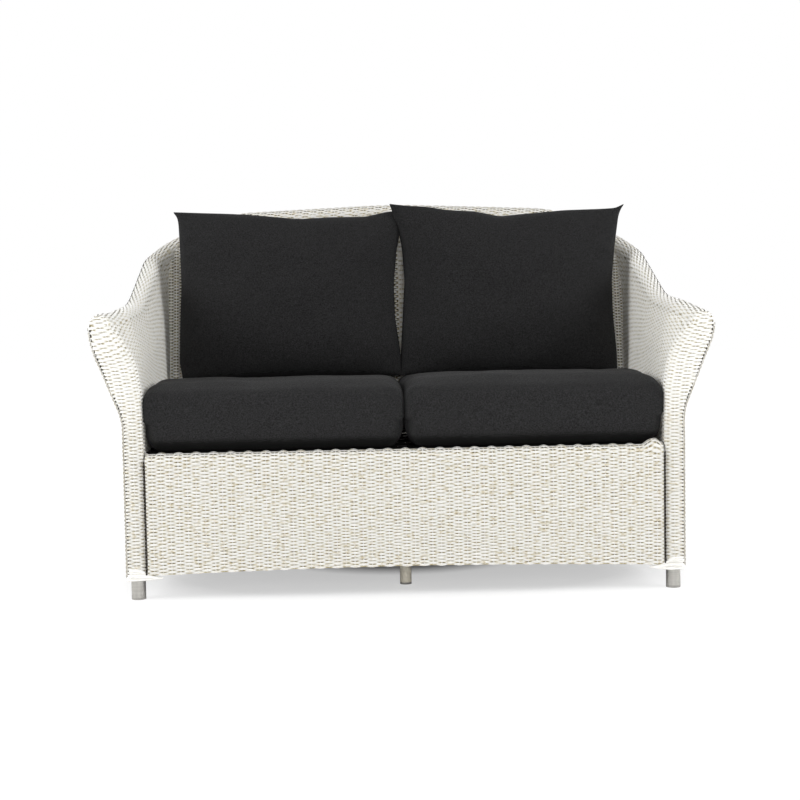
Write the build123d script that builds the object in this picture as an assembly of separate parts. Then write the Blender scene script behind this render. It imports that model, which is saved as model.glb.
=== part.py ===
from build123d import *

import os
from math import cos, hypot, radians, sqrt

# Patio loveseat: a woven shell on a welded aluminium tube frame, a strap deck,
# two boxed seat cushions and two knife-edge back pillows.
# Millimetres. The front faces -Y, +X is on the right of the front view, +Z is up.
# The origin is on the floor, under the middle of the whole object.

# Overall; the seat half sets the width, and an "_out" says how far outside it something lies
front_face = -440.0
seat_half = 629.0
side_face_out = 47.0
rear_base_face = 366.0
rear_base_corner = 110.0
weave_bottom = 58.0
weave_skin = 5.0
gap = 0.3
overrun = 30.0

# Ridge, the centre line of the top rail, from the front of an arm to the crown
rail_top_radius = 19.0
rail_top_wall = 2.0
ridge_front_out = 94.7
ridge_front_y = -428.0
ridge_front_height = 651.0
ridge_lip_out = 68.0
ridge_lip_y = -290.0
ridge_lip_height = 676.0
ridge_side_out = 63.0
ridge_rise_y = -60.0
ridge_rise_height = 693.0
ridge_rear = 415.7
ridge_corner_height = 862.0
ridge_shoulder_share = 0.65
ridge_shoulder_rise = 85.0
ridge_crown_rise = 19.0
lip_bend = 200.0
rise_bend = 600.0
corner_bend = 180.0
shoulder_bend = 200.0
crown_bend = 2500.0
joint_share = 0.81
corner_turns = 20
roll_cap_bend = 6.5
roll_cap_setback = 4.8

# Outside sheets
flare_start = 436.0
flare_end_drop = 26.0

# Inside sheets and front bands
inside_bottom = 355.0
inside_base_out = 11.0
inside_low_height = 480.0
inside_low_out = 33.0
inside_mid_share = 0.55
inside_mid_front_out = 15.0
inside_mid_rear_out = 38.0
band_depth = 110.0
band_low_bend = 12.0
band_seat_bend = 24.0
band_mid_bend = 42.0
band_top_bend = 66.0
band_mid_height = 540.0
band_top_height = 636.0
band_clear = 1.2
band_low_depth = 45.0
back_base_y = 225.0
back_top_y = 389.0
back_side_low_out = 15.0
back_side_mid_out = 38.0
back_side_mid_height = 480.0
back_side_top_height = 790.0
back_corner_share = 0.86
back_shoulder_share = 0.67
inside_rear_share = 0.75

# Skirt
skirt_top = 353.0
skirt_end_height = 60.0
skirt_rise = 12.0
rim_rod_radius = 6.0
rim_clear = 3.0

# Frame
leg_radius = 17.5
leg_wall = 2.0
glide_height = 5.0
glide_stem = 25.0
front_leg_out = 23.0
front_leg_y = -414.0
front_leg_top = 400.0
rear_leg_out = 21.0
rear_leg_y = 270.0
side_rail_out = 22.0
centre_leg_radius = 14.5
centre_leg_y = -296.0
rail_radius = 12.5
rail_wall = 1.6
rear_rail_y = 238.0
spreader_radius = 11.0
post_radius = 11.0
post_wall = 1.6
post_setback = 6.0
post_dip_share = 0.05
mid_post_share = 1.5
upright_place = 3
rear_post_share = 0.75
upright_setback = 5.0

# Strap deck
strap_width = 50.0
strap_skin = 1.8
strap_pitch = 92.0
strap_first_y = -360.0
strap_half_count = 7
strap_out = 15.0
strap_bend_share = 0.98

# Corner wraps
wrap_height = 11.0
wrap_reach = 41.0
wrap_depth = 48.0
wrap_bend = 4.0
wrap_corner_bend = 16.0

# Seat cushions
cushion_depth = 655.0
cushion_front = -436.0
cushion_box = 148.0
cushion_crown = 24.0
cushion_end = 34.0
cushion_end_share = 0.8
cushion_bend = 30.0
cushion_bend_share = 0.4
cushion_pull_in = 7.0
cushion_mid_gap = 1.0

# Back pillows
pillow_out = 9.0
pillow_height = 490.0
pillow_thick = 190.0
pillow_seam = 9.0
pillow_top_dip = 26.0
pillow_bottom_dip = 14.0
pillow_mid_gap = 4.0
pillow_bottom = 500.5


def mirrored(piece):
    return mirror(piece, about=Plane.YZ)


def between(low, high, share):
    return low + (high - low) * share


def disc_at(point, direction, radius, wall=0.0):
    # a disc, or a ring where a wall is given, square to the direction
    section = Circle(radius)
    if wall:
        section = section - Circle(radius - wall)
    return Plane(origin=Vector(*point), z_dir=Vector(*direction)) * section


def rod(start, end, radius, wall=0.0):
    # a straight round tube, solid where no wall is given
    run = Vector(*end) - Vector(*start)
    return extrude(disc_at(start, run, radius, wall), amount=run.length)


def bent(path, radius, wall=0.0):
    # a bent tube made run by run, so that each bend is a true piece of a torus
    runs = [sweep(disc_at(edge @ 0, edge % 0, radius, wall), path=edge) for edge in path.edges()]
    return runs[0].fuse(*runs[1:]) if len(runs) > 1 else runs[0]


def loop_face(points, bends=None):
    # a face bounded by straight lines, with the corners that have a bend rounded
    loop = FilletPolyline(*points, radius=bends or [0.0] * len(points), close=True)
    return make_face(loop.edges())


def largest(shape):
    return max(shape.solids(), key=lambda solid: solid.volume)


# Widths that follow from the seat half
side_face = seat_half + side_face_out
ridge_front_side = seat_half + ridge_front_out
ridge_lip_side = seat_half + ridge_lip_out
ridge_side = seat_half + ridge_side_out
ridge_shoulder_side = ridge_side * ridge_shoulder_share
inside_base_rear = seat_half + inside_base_out
inside_low_rear = seat_half + inside_low_out
inside_mid_front = seat_half + inside_mid_front_out
inside_mid_rear = seat_half + inside_mid_rear_out
back_side_low = seat_half + back_side_low_out
back_side_mid = seat_half + back_side_mid_out
front_leg_side = seat_half + front_leg_out
rear_leg_side = seat_half + rear_leg_out
side_rail_side = seat_half + side_rail_out
wrap_inner_side = seat_half - wrap_reach
strap_side_pitch = (seat_half + strap_out) / strap_half_count
cushion_width = seat_half - cushion_mid_gap
pillow_width = seat_half + pillow_out

# Ridge
ridge_shoulder_height = ridge_corner_height + ridge_shoulder_rise
ridge_crown_height = ridge_shoulder_height + ridge_crown_rise
ridge_half = [
    Vector(ridge_front_side, ridge_front_y, ridge_front_height),
    Vector(ridge_lip_side, ridge_lip_y, ridge_lip_height),
    Vector(ridge_side, ridge_rise_y, ridge_rise_height),
    Vector(ridge_side, ridge_rear, ridge_corner_height),
]
ridge_half_bends = [lip_bend, rise_bend, corner_bend]
shoulder = Vector(ridge_shoulder_side, ridge_rear, ridge_shoulder_height)
shoulder_left = Vector(-ridge_shoulder_side, ridge_rear, ridge_shoulder_height)
crown = Vector(0, ridge_rear, ridge_crown_height)
joint = ridge_half[-1] + (shoulder - ridge_half[-1]) * joint_share
joint_left = Vector(-joint.X, joint.Y, joint.Z)
arm_path = FilletPolyline(*ridge_half, joint, radius=ridge_half_bends)
back_path = FilletPolyline(
    joint, shoulder, crown, shoulder_left, joint_left, radius=[shoulder_bend, crown_bend, shoulder_bend]
)
corner_arc = arm_path.edges().filter_by(GeomType.CIRCLE).sort_by(Axis.Y)[-1]
corner_centre_x = ridge_side - corner_bend
corner_centre_y = ridge_rear - corner_bend
roll_inner = rail_top_radius + gap
roll_outer = roll_inner + weave_skin


def ridge_at_y(y):
    # the ridge above the side of the seat, by the straight runs of its outline
    first, second = ridge_half[0], ridge_half[1]
    for a, b in zip(ridge_half, ridge_half[1:]):
        if y >= a.Y:
            first, second = a, b
    return first + (second - first) * ((y - first.Y) / (second.Y - first.Y))


def ridge_corner_at_y(y):
    # the ridge round the rear corner, found by halving the arc
    start, end = 0, 1
    for turn in range(corner_turns):
        share = (start + end) / 2
        if (corner_arc @ share).Y < y:
            start = share
        else:
            end = share
    return corner_arc @ share


# Top rail and the rolled edge woven round it
arm_rail_right = bent(arm_path, rail_top_radius, rail_top_wall)
back_top_rail = bent(back_path, rail_top_radius, rail_top_wall)
roll_core_arm = bent(arm_path, roll_outer + gap)
roll_core_back = bent(back_path, roll_outer + gap)
roll_arm_right = bent(arm_path, roll_outer, weave_skin)
roll_back = bent(back_path, roll_outer, weave_skin)
cap_start = arm_path @ 0
cap_reach = front_face + roll_cap_setback - ridge_front_y
cap_run = cap_start + (arm_path % 0) * (cap_reach / (arm_path % 0).Y)
roll_cap = rod(cap_start, cap_run, roll_outer)
roll_cap = fillet(roll_cap.edges().filter_by(GeomType.CIRCLE).sort_by(Axis.Y)[0], roll_cap_bend)
roll_arm_right = roll_arm_right + roll_cap
roll_core_all = roll_core_arm + rod(cap_start, cap_run + (cap_run - cap_start), roll_outer + gap)


# Outside sheets
def base_reach(origin, out):
    # how far the low outline lies from a point, along a direction in plan
    inner_x = side_face - rear_base_corner
    inner_y = rear_base_face - rear_base_corner
    if out.X > 0:
        reach = (side_face - origin.X) / out.X
        if origin.Y + reach * out.Y <= inner_y:
            return reach
    if out.Y > 0:
        reach = (rear_base_face - origin.Y) / out.Y
        if origin.X + reach * out.X <= inner_x:
            return reach
    away = Vector(origin.X - inner_x, origin.Y - inner_y, 0)
    along = away.dot(out)
    return -along + sqrt(along**2 - away.length**2 + rear_base_corner**2)


def outside_section(top, out):
    # an upright strip: straight below, flared over the arm, raked over the back
    origin = Vector(top.X, top.Y, 0) - out * corner_bend
    base = base_reach(origin, out) - corner_bend
    rear_share = abs(out.Y) ** 2
    top_reach = roll_outer
    flare_end = top.Z - flare_end_drop
    raked_low = between(base, top_reach, (flare_start - weave_bottom) / (top.Z - weave_bottom))
    raked_high = between(base, top_reach, (flare_end - weave_bottom) / (top.Z - weave_bottom))
    outer = [
        (base, weave_bottom),
        (between(base, raked_low, rear_share), flare_start),
        (between(top_reach, raked_high, rear_share), flare_end),
        (top_reach, top.Z),
    ]
    inner = [(reach - weave_skin, height) for reach, height in reversed(outer)]
    place = Plane(origin=(top.X, top.Y, 0), x_dir=out, z_dir=out.cross(Vector(0, 0, 1)))
    return place * loop_face(outer + inner)


side_way = Vector(1, 0, 0)
front_top = ridge_at_y(front_face)
side_stations = [front_top]
side_count = 5
for step in range(1, side_count + 1):
    side_stations.append(ridge_at_y(between(front_face, corner_centre_y, step / side_count)))
outside_sections = [outside_section(point, side_way) for point in side_stations]
corner_count = 8
for step in range(1, corner_count + 1):
    point = corner_arc @ (step / corner_count)
    out = Vector(point.X - corner_centre_x, point.Y - corner_centre_y, 0).normalized()
    outside_sections.append(outside_section(point, out))
outside_sections.append(outside_section(joint, Vector(0, 1, 0)))
outside_arm_right = largest(loft(outside_sections, ruled=True) - roll_core_all - roll_core_back)

back_way = Vector(0, 1, 0)
back_stations = [joint, shoulder, crown, shoulder_left, joint_left]
outside_back = loft([outside_section(point, back_way) for point in back_stations], ruled=True)
outside_back = largest(outside_back - roll_core_back - roll_core_all - mirrored(roll_core_all))


# Inside sheets
def inside_section(y):
    # an upright strip that leans out, more towards the rear of the seat
    top = ridge_corner_at_y(y) if y > corner_centre_y else ridge_at_y(y)
    rear = min(1, max(0, (y - front_face - band_depth) / (back_base_y - front_face - band_depth)))
    mid_height = between(inside_low_height, top.Z, inside_mid_share)
    near = [
        (between(seat_half, inside_base_rear, rear), inside_bottom),
        (between(seat_half, inside_low_rear, rear), inside_low_height),
        (between(inside_mid_front, inside_mid_rear, rear), mid_height),
        (top.X - roll_outer, top.Z),
    ]
    far = [(x + weave_skin, z) for x, z in reversed(near)]
    return Plane(origin=(0, y, 0), x_dir=(1, 0, 0), z_dir=(0, -1, 0)) * loop_face(near + far)


back_rise = back_top_y - back_base_y
back_tall = ridge_crown_height - inside_bottom
rake = back_rise / back_tall
inside_front_y = front_face + band_depth
inside_rear_y = between(back_base_y, back_top_y, inside_rear_share)
inside_count = 9
inside_sections = []
for step in range(inside_count + 1):
    inside_sections.append(inside_section(between(inside_front_y, inside_rear_y, step / inside_count)))
behind_back = loop_face(
    [
        (back_base_y - gap - rake * overrun, inside_bottom - overrun),
        (back_top_y - gap + rake * overrun, ridge_crown_height + overrun),
        (ridge_rear + overrun, ridge_crown_height + overrun),
        (ridge_rear + overrun, inside_bottom - overrun),
    ]
)
behind_back = extrude(Plane.YZ * behind_back, amount=side_face + overrun)
inside_arm_right = loft(inside_sections, ruled=True) - roll_core_all - behind_back
inside_arm_right = largest(inside_arm_right)

# Inside back, a raked sheet between the inside corners
back_length = hypot(back_rise, back_tall)
back_plane = Plane(
    origin=(0, back_base_y, inside_bottom), x_dir=(1, 0, 0), z_dir=(0, -back_tall, back_rise)
)


def up_back(height):
    return (height - inside_bottom) * back_length / back_tall


corner_top = ridge_corner_at_y(between(back_base_y, back_top_y, back_corner_share))
back_outline_half = [
    (back_side_low, up_back(inside_bottom)),
    (back_side_mid, up_back(back_side_mid_height)),
    (back_side_mid, up_back(back_side_top_height)),
    (corner_top.X - roll_outer / 2, up_back(corner_top.Z)),
    (corner_centre_x, up_back(between(ridge_corner_height, ridge_shoulder_height, back_shoulder_share))),
    (ridge_shoulder_side, up_back(ridge_shoulder_height)),
]
back_outline = back_outline_half + [(0, up_back(ridge_crown_height))]
back_outline += [(-x, z) for x, z in reversed(back_outline_half)]
inside_back = extrude(back_plane * loop_face(back_outline), amount=-weave_skin)
inside_back = inside_back - roll_core_all - mirrored(roll_core_all) - roll_core_back
inside_back = largest(inside_back)

# Skirt, woven over the front seat rail
rail_height = skirt_top - weave_skin - gap - rail_radius
front_rail_y = front_face + weave_skin + gap + rail_radius
skirt_roll = rail_radius + gap + weave_skin
skirt_half = seat_half - gap
skirt_profile = loop_face(
    [
        (front_face, weave_bottom - overrun),
        (front_face, skirt_top),
        (front_rail_y, skirt_top),
        (front_rail_y, skirt_top - weave_skin),
        (front_face + weave_skin, skirt_top - weave_skin),
        (front_face + weave_skin, weave_bottom - overrun),
    ],
    [0, skirt_roll - gap, 0, 0, skirt_roll - weave_skin - gap, 0],
)
skirt_plane = Plane(origin=(-skirt_half, 0, 0), x_dir=(0, 1, 0), z_dir=(1, 0, 0))
skirt = extrude(skirt_plane * skirt_profile, amount=2 * skirt_half)
arch_start = (-skirt_half - overrun, skirt_end_height)
arch_mid = (0, skirt_end_height + skirt_rise)
arch_end = (skirt_half + overrun, skirt_end_height)
arch = ThreePointArc(arch_start, arch_mid, arch_end)
under_arch = make_face(
    [arch, Polyline(arch_end, (arch_end[0], 0), (arch_start[0], 0), arch_start)]
)
front_way = Plane(origin=(0, front_face - overrun, 0), x_dir=(1, 0, 0), z_dir=(0, -1, 0))
skirt = skirt - extrude(front_way * under_arch, amount=-3 * overrun)

# Legs and rails
front_leg_foot = (front_leg_side, front_leg_y, 0)
front_leg_base = (front_leg_side, front_leg_y, glide_height)
front_leg_head = (front_leg_side, front_leg_y, front_leg_top)
front_leg_core = rod(front_leg_foot, front_leg_head, leg_radius)
rear_leg_top = rail_height + rail_radius
rear_leg_base = (rear_leg_side, rear_leg_y, glide_height)
rear_leg_head = (rear_leg_side, rear_leg_y, rear_leg_top)
rear_leg_core = rod((rear_leg_side, rear_leg_y, 0), rear_leg_head, leg_radius)
front_leg = rod(front_leg_base, front_leg_head, leg_radius, leg_wall)
rear_leg = rod(rear_leg_base, rear_leg_head, leg_radius, leg_wall)
both_front_legs = front_leg_core + mirrored(front_leg_core)
front_rail_left = (-front_leg_side, front_rail_y, rail_height)
front_rail_right = (front_leg_side, front_rail_y, rail_height)
front_rail = largest(rod(front_rail_left, front_rail_right, rail_radius, rail_wall) - both_front_legs)
side_start = Vector(side_rail_side, front_leg_y, rail_height)
side_end = Vector(side_rail_side, rear_leg_y, rail_height)
side_core = rod(side_start, side_end, rail_radius)
side_rail = largest(rod(side_start, side_end, rail_radius, rail_wall) - front_leg_core - rear_leg_core)
rear_rail_end = (side_rail_side, rear_rail_y, rail_height)
rear_rail = rod((-rear_rail_end[0], rear_rail_y, rail_height), rear_rail_end, rail_radius, rail_wall)
rear_rail = largest(rear_rail - side_core - mirrored(side_core))
rear_core = rod((-rear_rail_end[0], rear_rail_y, rail_height), rear_rail_end, rail_radius)
front_core = rod(front_rail_left, front_rail_right, rail_radius)
spreader_height = rail_height + rail_radius - spreader_radius
spreader_ends = ((0, front_rail_y, spreader_height), (0, rear_rail_y, spreader_height))
spreader = largest(rod(*spreader_ends, spreader_radius, rail_wall) - front_core - rear_core)
spreader_core = rod(*spreader_ends, spreader_radius)
centre_leg_base = (0, centre_leg_y, glide_height)
centre_leg = rod(centre_leg_base, (0, centre_leg_y, spreader_height), centre_leg_radius, leg_wall)
centre_leg = largest(centre_leg - spreader_core)


def glide(x, y, radius):
    # a nylon foot: a disc under the tube and a stem inside it
    foot = rod((x, y, 0), (x, y, glide_height), radius)
    stem = rod((x, y, glide_height), (x, y, glide_height + glide_stem), radius - leg_wall - gap)
    return foot + stem


# Rim rods along the lower edge of the weave
rim_y = front_face + weave_skin + gap + rim_rod_radius
rim_height = weave_bottom + rim_rod_radius + gap
front_rim_height = skirt_end_height + skirt_rise + rim_rod_radius
front_rim_ends = ((-front_leg_side, rim_y, front_rim_height), (front_leg_side, rim_y, front_rim_height))
front_rim = largest(rod(*front_rim_ends, rim_rod_radius) - both_front_legs)
rim_inset = weave_skin + rim_clear + rim_rod_radius
rim_side_x = side_face - rim_inset
rim_rear_y = rear_base_face - rim_inset
rim_corner = rear_base_corner - rim_inset
rim_joint_y = rear_leg_y - leg_radius
side_rim = rod((rim_side_x, front_leg_y, rim_height), (rim_side_x, rim_joint_y, rim_height), rim_rod_radius)
side_rim = largest(side_rim - front_leg_core - rear_leg_core)
rear_rim_path = FilletPolyline(
    (rim_side_x, rim_joint_y, rim_height),
    (rim_side_x, rim_rear_y, rim_height),
    (-rim_side_x, rim_rear_y, rim_height),
    (-rim_side_x, rim_joint_y, rim_height),
    radius=[rim_corner, rim_corner],
)
rear_rim = bent(rear_rim_path, rim_rod_radius)
rear_rim = largest(rear_rim - rear_leg_core - mirrored(rear_leg_core))

# Posts inside the arms and uprights inside the back
rail_core_arm = bent(arm_path, rail_top_radius)
rail_core_back = bent(back_path, rail_top_radius)
front_post_foot = (front_leg_side - post_setback, front_leg_y, front_leg_top)
front_post_top = arm_path @ 0 + Vector(0, post_radius + gap, 0)
below = Box(4 * leg_radius, 4 * leg_radius, 2 * leg_radius, align=(Align.CENTER, Align.CENTER, Align.MAX))
slice_under = Pos(*front_post_foot) * below


def post_between(start, end, cores):
    piece = rod(start, end, post_radius, post_wall)
    for core in cores:
        piece = piece - core
    return largest(piece)


front_post_run = front_post_top - Vector(*front_post_foot)
front_post_foot_low = Vector(*front_post_foot) - front_post_run * post_dip_share
front_post = post_between(front_post_foot_low, front_post_top, [slice_under, rail_core_arm])
mid_y = strap_first_y + mid_post_share * strap_pitch
mid_top = ridge_at_y(mid_y)
mid_foot = Vector(side_rail_side - post_setback, mid_y, rail_height)
mid_post = post_between(mid_foot, mid_top, [side_core, rail_core_arm])
rear_foot = Vector(rear_leg_side, rear_leg_y, rear_leg_top - leg_radius)
rear_top = corner_arc @ rear_post_share
rear_slice = Pos(*rear_leg_head) * below
rear_post = post_between(rear_foot, rear_top, [rear_slice, rail_core_arm])


def upright(x):
    foot = Vector(x, rear_rail_y + upright_setback, rail_height)
    top_z = between(ridge_crown_height, ridge_shoulder_height, abs(x) / ridge_shoulder_side)
    return foot, Vector(x, ridge_rear, top_z)


upright_side = strap_side_pitch * upright_place
upright_right = post_between(*upright(upright_side), [rear_core, rail_core_back])
upright_left = mirrored(upright_right)
upright_centre = post_between(*upright(0), [rear_core, spreader_core, rail_core_back])

# Holes that the posts and rails pass through in the woven sheets
clear = post_radius + gap
post_holes = [
    rod(front_post_foot_low, front_post_top, clear),
    rod(mid_foot, mid_top, clear),
    rod(rear_foot, rear_top, clear),
]
for hole in post_holes:
    roll_arm_right = roll_arm_right - hole
roll_arm_right = largest(roll_arm_right)
for x in (-upright_side, 0, upright_side):
    roll_back = roll_back - rod(*upright(x), clear)
roll_back = largest(roll_back)


# Front bands
def band_section(height, side_x, inner_x, bend):
    # a strip in plan: across the front of the arm and round into the seat
    outer_x = side_x - weave_skin - band_clear
    back_y = inside_front_y - gap
    strip = loop_face(
        [
            (outer_x, front_face),
            (inner_x, front_face),
            (inner_x, back_y),
            (inner_x + weave_skin, back_y),
            (inner_x + weave_skin, front_face + weave_skin),
            (outer_x, front_face + weave_skin),
        ],
        [0, bend, 0, 0, bend - weave_skin, 0],
    )
    return Pos(0, 0, height) * strip


flare_front = front_top.X + roll_outer
flare_rise = front_top.Z - flare_end_drop - flare_start
inside_front_top = ridge_at_y(inside_front_y)


def flare_x(height):
    return between(side_face, flare_front, min(1, max(0, (height - flare_start) / flare_rise)))


def inside_x(height):
    # the inside sheet's face at the back of the band
    mid_height = between(inside_low_height, inside_front_top.Z, inside_mid_share)
    if height <= inside_low_height:
        return seat_half
    if height <= mid_height:
        rise = (height - inside_low_height) / (mid_height - inside_low_height)
        return between(seat_half, inside_mid_front, rise)
    top_x = inside_front_top.X - roll_outer
    return between(inside_mid_front, top_x, (height - mid_height) / (inside_front_top.Z - mid_height))


band_levels = [
    (weave_bottom, band_low_bend),
    (inside_bottom, band_low_bend),
    (flare_start, band_seat_bend),
    (band_mid_height, band_mid_bend),
    (band_top_height, band_top_bend),
]
band_sections = [band_section(z, flare_x(z), inside_x(z), bend) for z, bend in band_levels]
front_band_right = loft(band_sections, ruled=True) - roll_core_all
under_deck = Pos(seat_half - overrun, front_face + band_low_depth, 0) * Box(
    2 * overrun, band_depth, inside_bottom - gap, align=(Align.MIN, Align.MIN, Align.MIN)
)
front_band_right = front_band_right - under_deck
front_band_right = front_band_right - rod(
    (0, front_rail_y, rail_height), front_rail_right, rail_radius + gap
)
front_band_right = largest(front_band_right - rod(*front_rim_ends, rim_rod_radius + gap))

# Strap deck
strap_low = rail_height + rail_radius + gap
strap_mid = strap_low + strap_skin + gap


def wrapped_strap(low, rail_low, rail_high):
    # a flat strap whose ends turn down round the rails, seen from its edge
    round_low = rail_height - (low - rail_height)
    out_low = rail_low - (low - rail_height) - strap_skin
    out_high = rail_high + (low - rail_height) + strap_skin
    bend_out = (low - rail_height + strap_skin) * strap_bend_share
    bend_in = (low - rail_height) * strap_bend_share
    outer = [
        (rail_low, round_low - strap_skin),
        (out_low, round_low - strap_skin),
        (out_low, low + strap_skin),
        (out_high, low + strap_skin),
        (out_high, round_low - strap_skin),
        (rail_high, round_low - strap_skin),
    ]
    inner = [
        (rail_high, round_low),
        (out_high - strap_skin, round_low),
        (out_high - strap_skin, low),
        (out_low + strap_skin, low),
        (out_low + strap_skin, round_low),
        (rail_low, round_low),
    ]
    bends = [0, bend_out, bend_out, bend_out, bend_out, 0]
    return loop_face(outer + inner, bends + [0, bend_in, bend_in, bend_in, bend_in, 0])


cross_count = 7
cross_straps = []
for number in range(cross_count):
    y = strap_first_y + number * strap_pitch
    face = wrapped_strap(strap_low, -side_rail_side, side_rail_side)
    plane = Plane(origin=(0, y + strap_width / 2, 0), x_dir=(1, 0, 0), z_dir=(0, -1, 0))
    cross_straps.append(extrude(plane * face, amount=strap_width))
cross_straps = Compound(children=[largest(strap) for strap in cross_straps])

long_front = front_rail_y + gap
long_rear = rear_rail_y
long_straps = []
for number in range(strap_half_count):
    for way in (-1, 1):
        x = way * strap_side_pitch * (2 * number + 1) / 2
        strap = Pos(x, long_front, strap_mid) * Box(
            strap_width, long_rear - long_front, strap_skin, align=(Align.CENTER, Align.MIN, Align.MIN)
        )
        long_straps.append(strap)
long_straps = Compound(children=[largest(strap) for strap in long_straps])

# Corner wraps under the front bands
wrap_top = weave_bottom - gap
wrap_box = Box(
    side_face - wrap_inner_side, wrap_depth, wrap_height, align=(Align.MIN, Align.MIN, Align.MAX)
)
wrap_right = Pos(wrap_inner_side, front_face, wrap_top) * wrap_box
wrap_right = fillet(wrap_right.edges().filter_by(Axis.Z), wrap_corner_bend)
wrap_right = fillet(wrap_right.edges().group_by(Axis.Z)[0], wrap_bend)
wrap_right = wrap_right - rod(front_leg_foot, front_leg_head, leg_radius + gap)

# Seat cushions
cushion_low = strap_mid + strap_skin + gap
cushion_middle_shares = [-0.75, -0.5, -0.25, 0.0, 0.25, 0.5, 0.75]
cushion_end_shares = [0.0, 0.13, 0.5, 1.0]


def cushion_section(x, inset, crown_share):
    # a boxed section with a crowned top and a flat underside
    share_y = cushion_pull_in * crown_share
    y_low = cushion_front + inset + share_y
    y_high = cushion_front + cushion_depth - inset - share_y
    z_low = cushion_low + inset
    z_high = cushion_low + cushion_box - inset
    top = ThreePointArc(
        (y_high, z_high), ((y_low + y_high) / 2, z_high + gap + cushion_crown * crown_share), (y_low, z_high)
    )
    sides = Polyline((y_low, z_high), (y_low, z_low), (y_high, z_low), (y_high, z_high))
    face = make_face([top, sides])
    face = fillet(face.vertices(), cushion_bend - inset * cushion_bend_share)
    return Plane(origin=(x, 0, 0), x_dir=(0, 1, 0), z_dir=(1, 0, 0)) * face


def seat_cushion():
    low_x = cushion_mid_gap / 2
    high_x = low_x + cushion_width
    middle = (low_x + high_x) / 2
    half = cushion_width / 2
    ends = []
    for share in cushion_end_shares:
        # the end rounds over as a quarter circle does
        inset = cushion_end * (1 - sqrt(1 - (1 - share) ** 2)) * cushion_end_share
        reach = half - cushion_end * share
        ends.append((reach, inset, 1 - (reach / half) ** 2))
    stations = [(-reach, inset, crown_share) for reach, inset, crown_share in ends]
    stations += [(half * share, 0, 1 - share**2) for share in cushion_middle_shares]
    stations += list(reversed(ends))
    sections = [cushion_section(middle + x, inset, crown_share) for x, inset, crown_share in stations]
    return loft(sections, ruled=True)


cushion_right = largest(seat_cushion())

# Back pillows
pillow_half_shares = [0.15, 0.32, 0.5, 0.66, 0.79, 0.89, 0.96, 0.99, 1.0]
pillow_shares = [-share for share in reversed(pillow_half_shares)] + [0.0] + pillow_half_shares


def pillow_section(share):
    # a lens between the top and bottom seams, in the pillow's own upright frame
    fill = sqrt(max(0, 1 - abs(share) ** 3))
    half_thick = pillow_seam / 2 + (pillow_thick - pillow_seam) / 2 * fill
    dip = 1 - share**2
    low = pillow_bottom_dip * dip
    high = pillow_height - pillow_top_dip * dip
    half_seam = pillow_seam / 2
    mid = (low + high) / 2
    front = ThreePointArc((-half_seam, high), (-half_thick - gap, mid), (-half_seam, low))
    back = ThreePointArc((half_seam, low), (half_thick + gap, mid), (half_seam, high))
    bottom = Line((-half_seam, low), (half_seam, low))
    top = Line((half_seam, high), (-half_seam, high))
    face = make_face([front, bottom, back, top])
    x = share * pillow_width / 2
    return Plane(origin=(x, 0, 0), x_dir=(0, 1, 0), z_dir=(1, 0, 0)) * face


lean = Vector(0, back_tall, -back_rise).get_angle(Vector(0, 1, 0))
pillow = loft([pillow_section(share) for share in pillow_shares], ruled=True)
pillow_x = pillow_mid_gap / 2 + pillow_width / 2
# the lowest line of the middle plane, set forward of the back sheet by half the thickness
sheet_y = back_base_y + rake * (pillow_bottom - inside_bottom)
forward = (pillow_thick / 2 + 2 * gap) / cos(radians(lean))
pillow_right = Pos(pillow_x, sheet_y - forward, pillow_bottom) * Rot(-lean, 0, 0) * pillow
pillow_right = largest(pillow_right)

pieces = {
    "front_leg_right": front_leg,
    "front_leg_left": mirrored(front_leg),
    "rear_leg_right": rear_leg,
    "rear_leg_left": mirrored(rear_leg),
    "centre_leg": centre_leg,
    "glide_front_right": glide(front_leg_side, front_leg_y, leg_radius),
    "glide_front_left": glide(-front_leg_side, front_leg_y, leg_radius),
    "glide_rear_right": glide(rear_leg_side, rear_leg_y, leg_radius),
    "glide_rear_left": glide(-rear_leg_side, rear_leg_y, leg_radius),
    "glide_centre": glide(0, centre_leg_y, centre_leg_radius),
    "seat_rail_front": front_rail,
    "seat_rail_rear": rear_rail,
    "seat_rail_right": side_rail,
    "seat_rail_left": mirrored(side_rail),
    "seat_spreader": spreader,
    "rim_rod_front": front_rim,
    "rim_rod_right": side_rim,
    "rim_rod_left": mirrored(side_rim),
    "rim_rod_rear": rear_rim,
    "arm_rail_right": arm_rail_right,
    "arm_rail_left": mirrored(arm_rail_right),
    "back_top_rail": back_top_rail,
    "arm_front_post_right": front_post,
    "arm_front_post_left": mirrored(front_post),
    "arm_middle_post_right": mid_post,
    "arm_middle_post_left": mirrored(mid_post),
    "back_corner_post_right": rear_post,
    "back_corner_post_left": mirrored(rear_post),
    "back_upright_right": upright_right,
    "back_upright_left": upright_left,
    "back_upright_centre": upright_centre,
    "deck_straps_across": cross_straps,
    "deck_straps_front_to_back": long_straps,
    "woven_front_skirt": skirt,
    "woven_front_band_right": front_band_right,
    "woven_front_band_left": mirrored(front_band_right),
    "woven_inside_arm_right": inside_arm_right,
    "woven_inside_arm_left": mirrored(inside_arm_right),
    "woven_outside_arm_right": outside_arm_right,
    "woven_outside_arm_left": mirrored(outside_arm_right),
    "woven_inside_back": inside_back,
    "woven_outside_back": outside_back,
    "woven_arm_roll_right": roll_arm_right,
    "woven_arm_roll_left": mirrored(roll_arm_right),
    "woven_back_roll": roll_back,
    "corner_wrap_right": wrap_right,
    "corner_wrap_left": mirrored(wrap_right),
    "seat_cushion_right": cushion_right,
    "seat_cushion_left": mirrored(cushion_right),
    "back_pillow_right": pillow_right,
    "back_pillow_left": mirrored(pillow_right),
}

os.makedirs("parts", exist_ok=True)
for name, piece in pieces.items():
    export_step(piece, f"parts/{name}.step")
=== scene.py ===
import math

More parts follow.
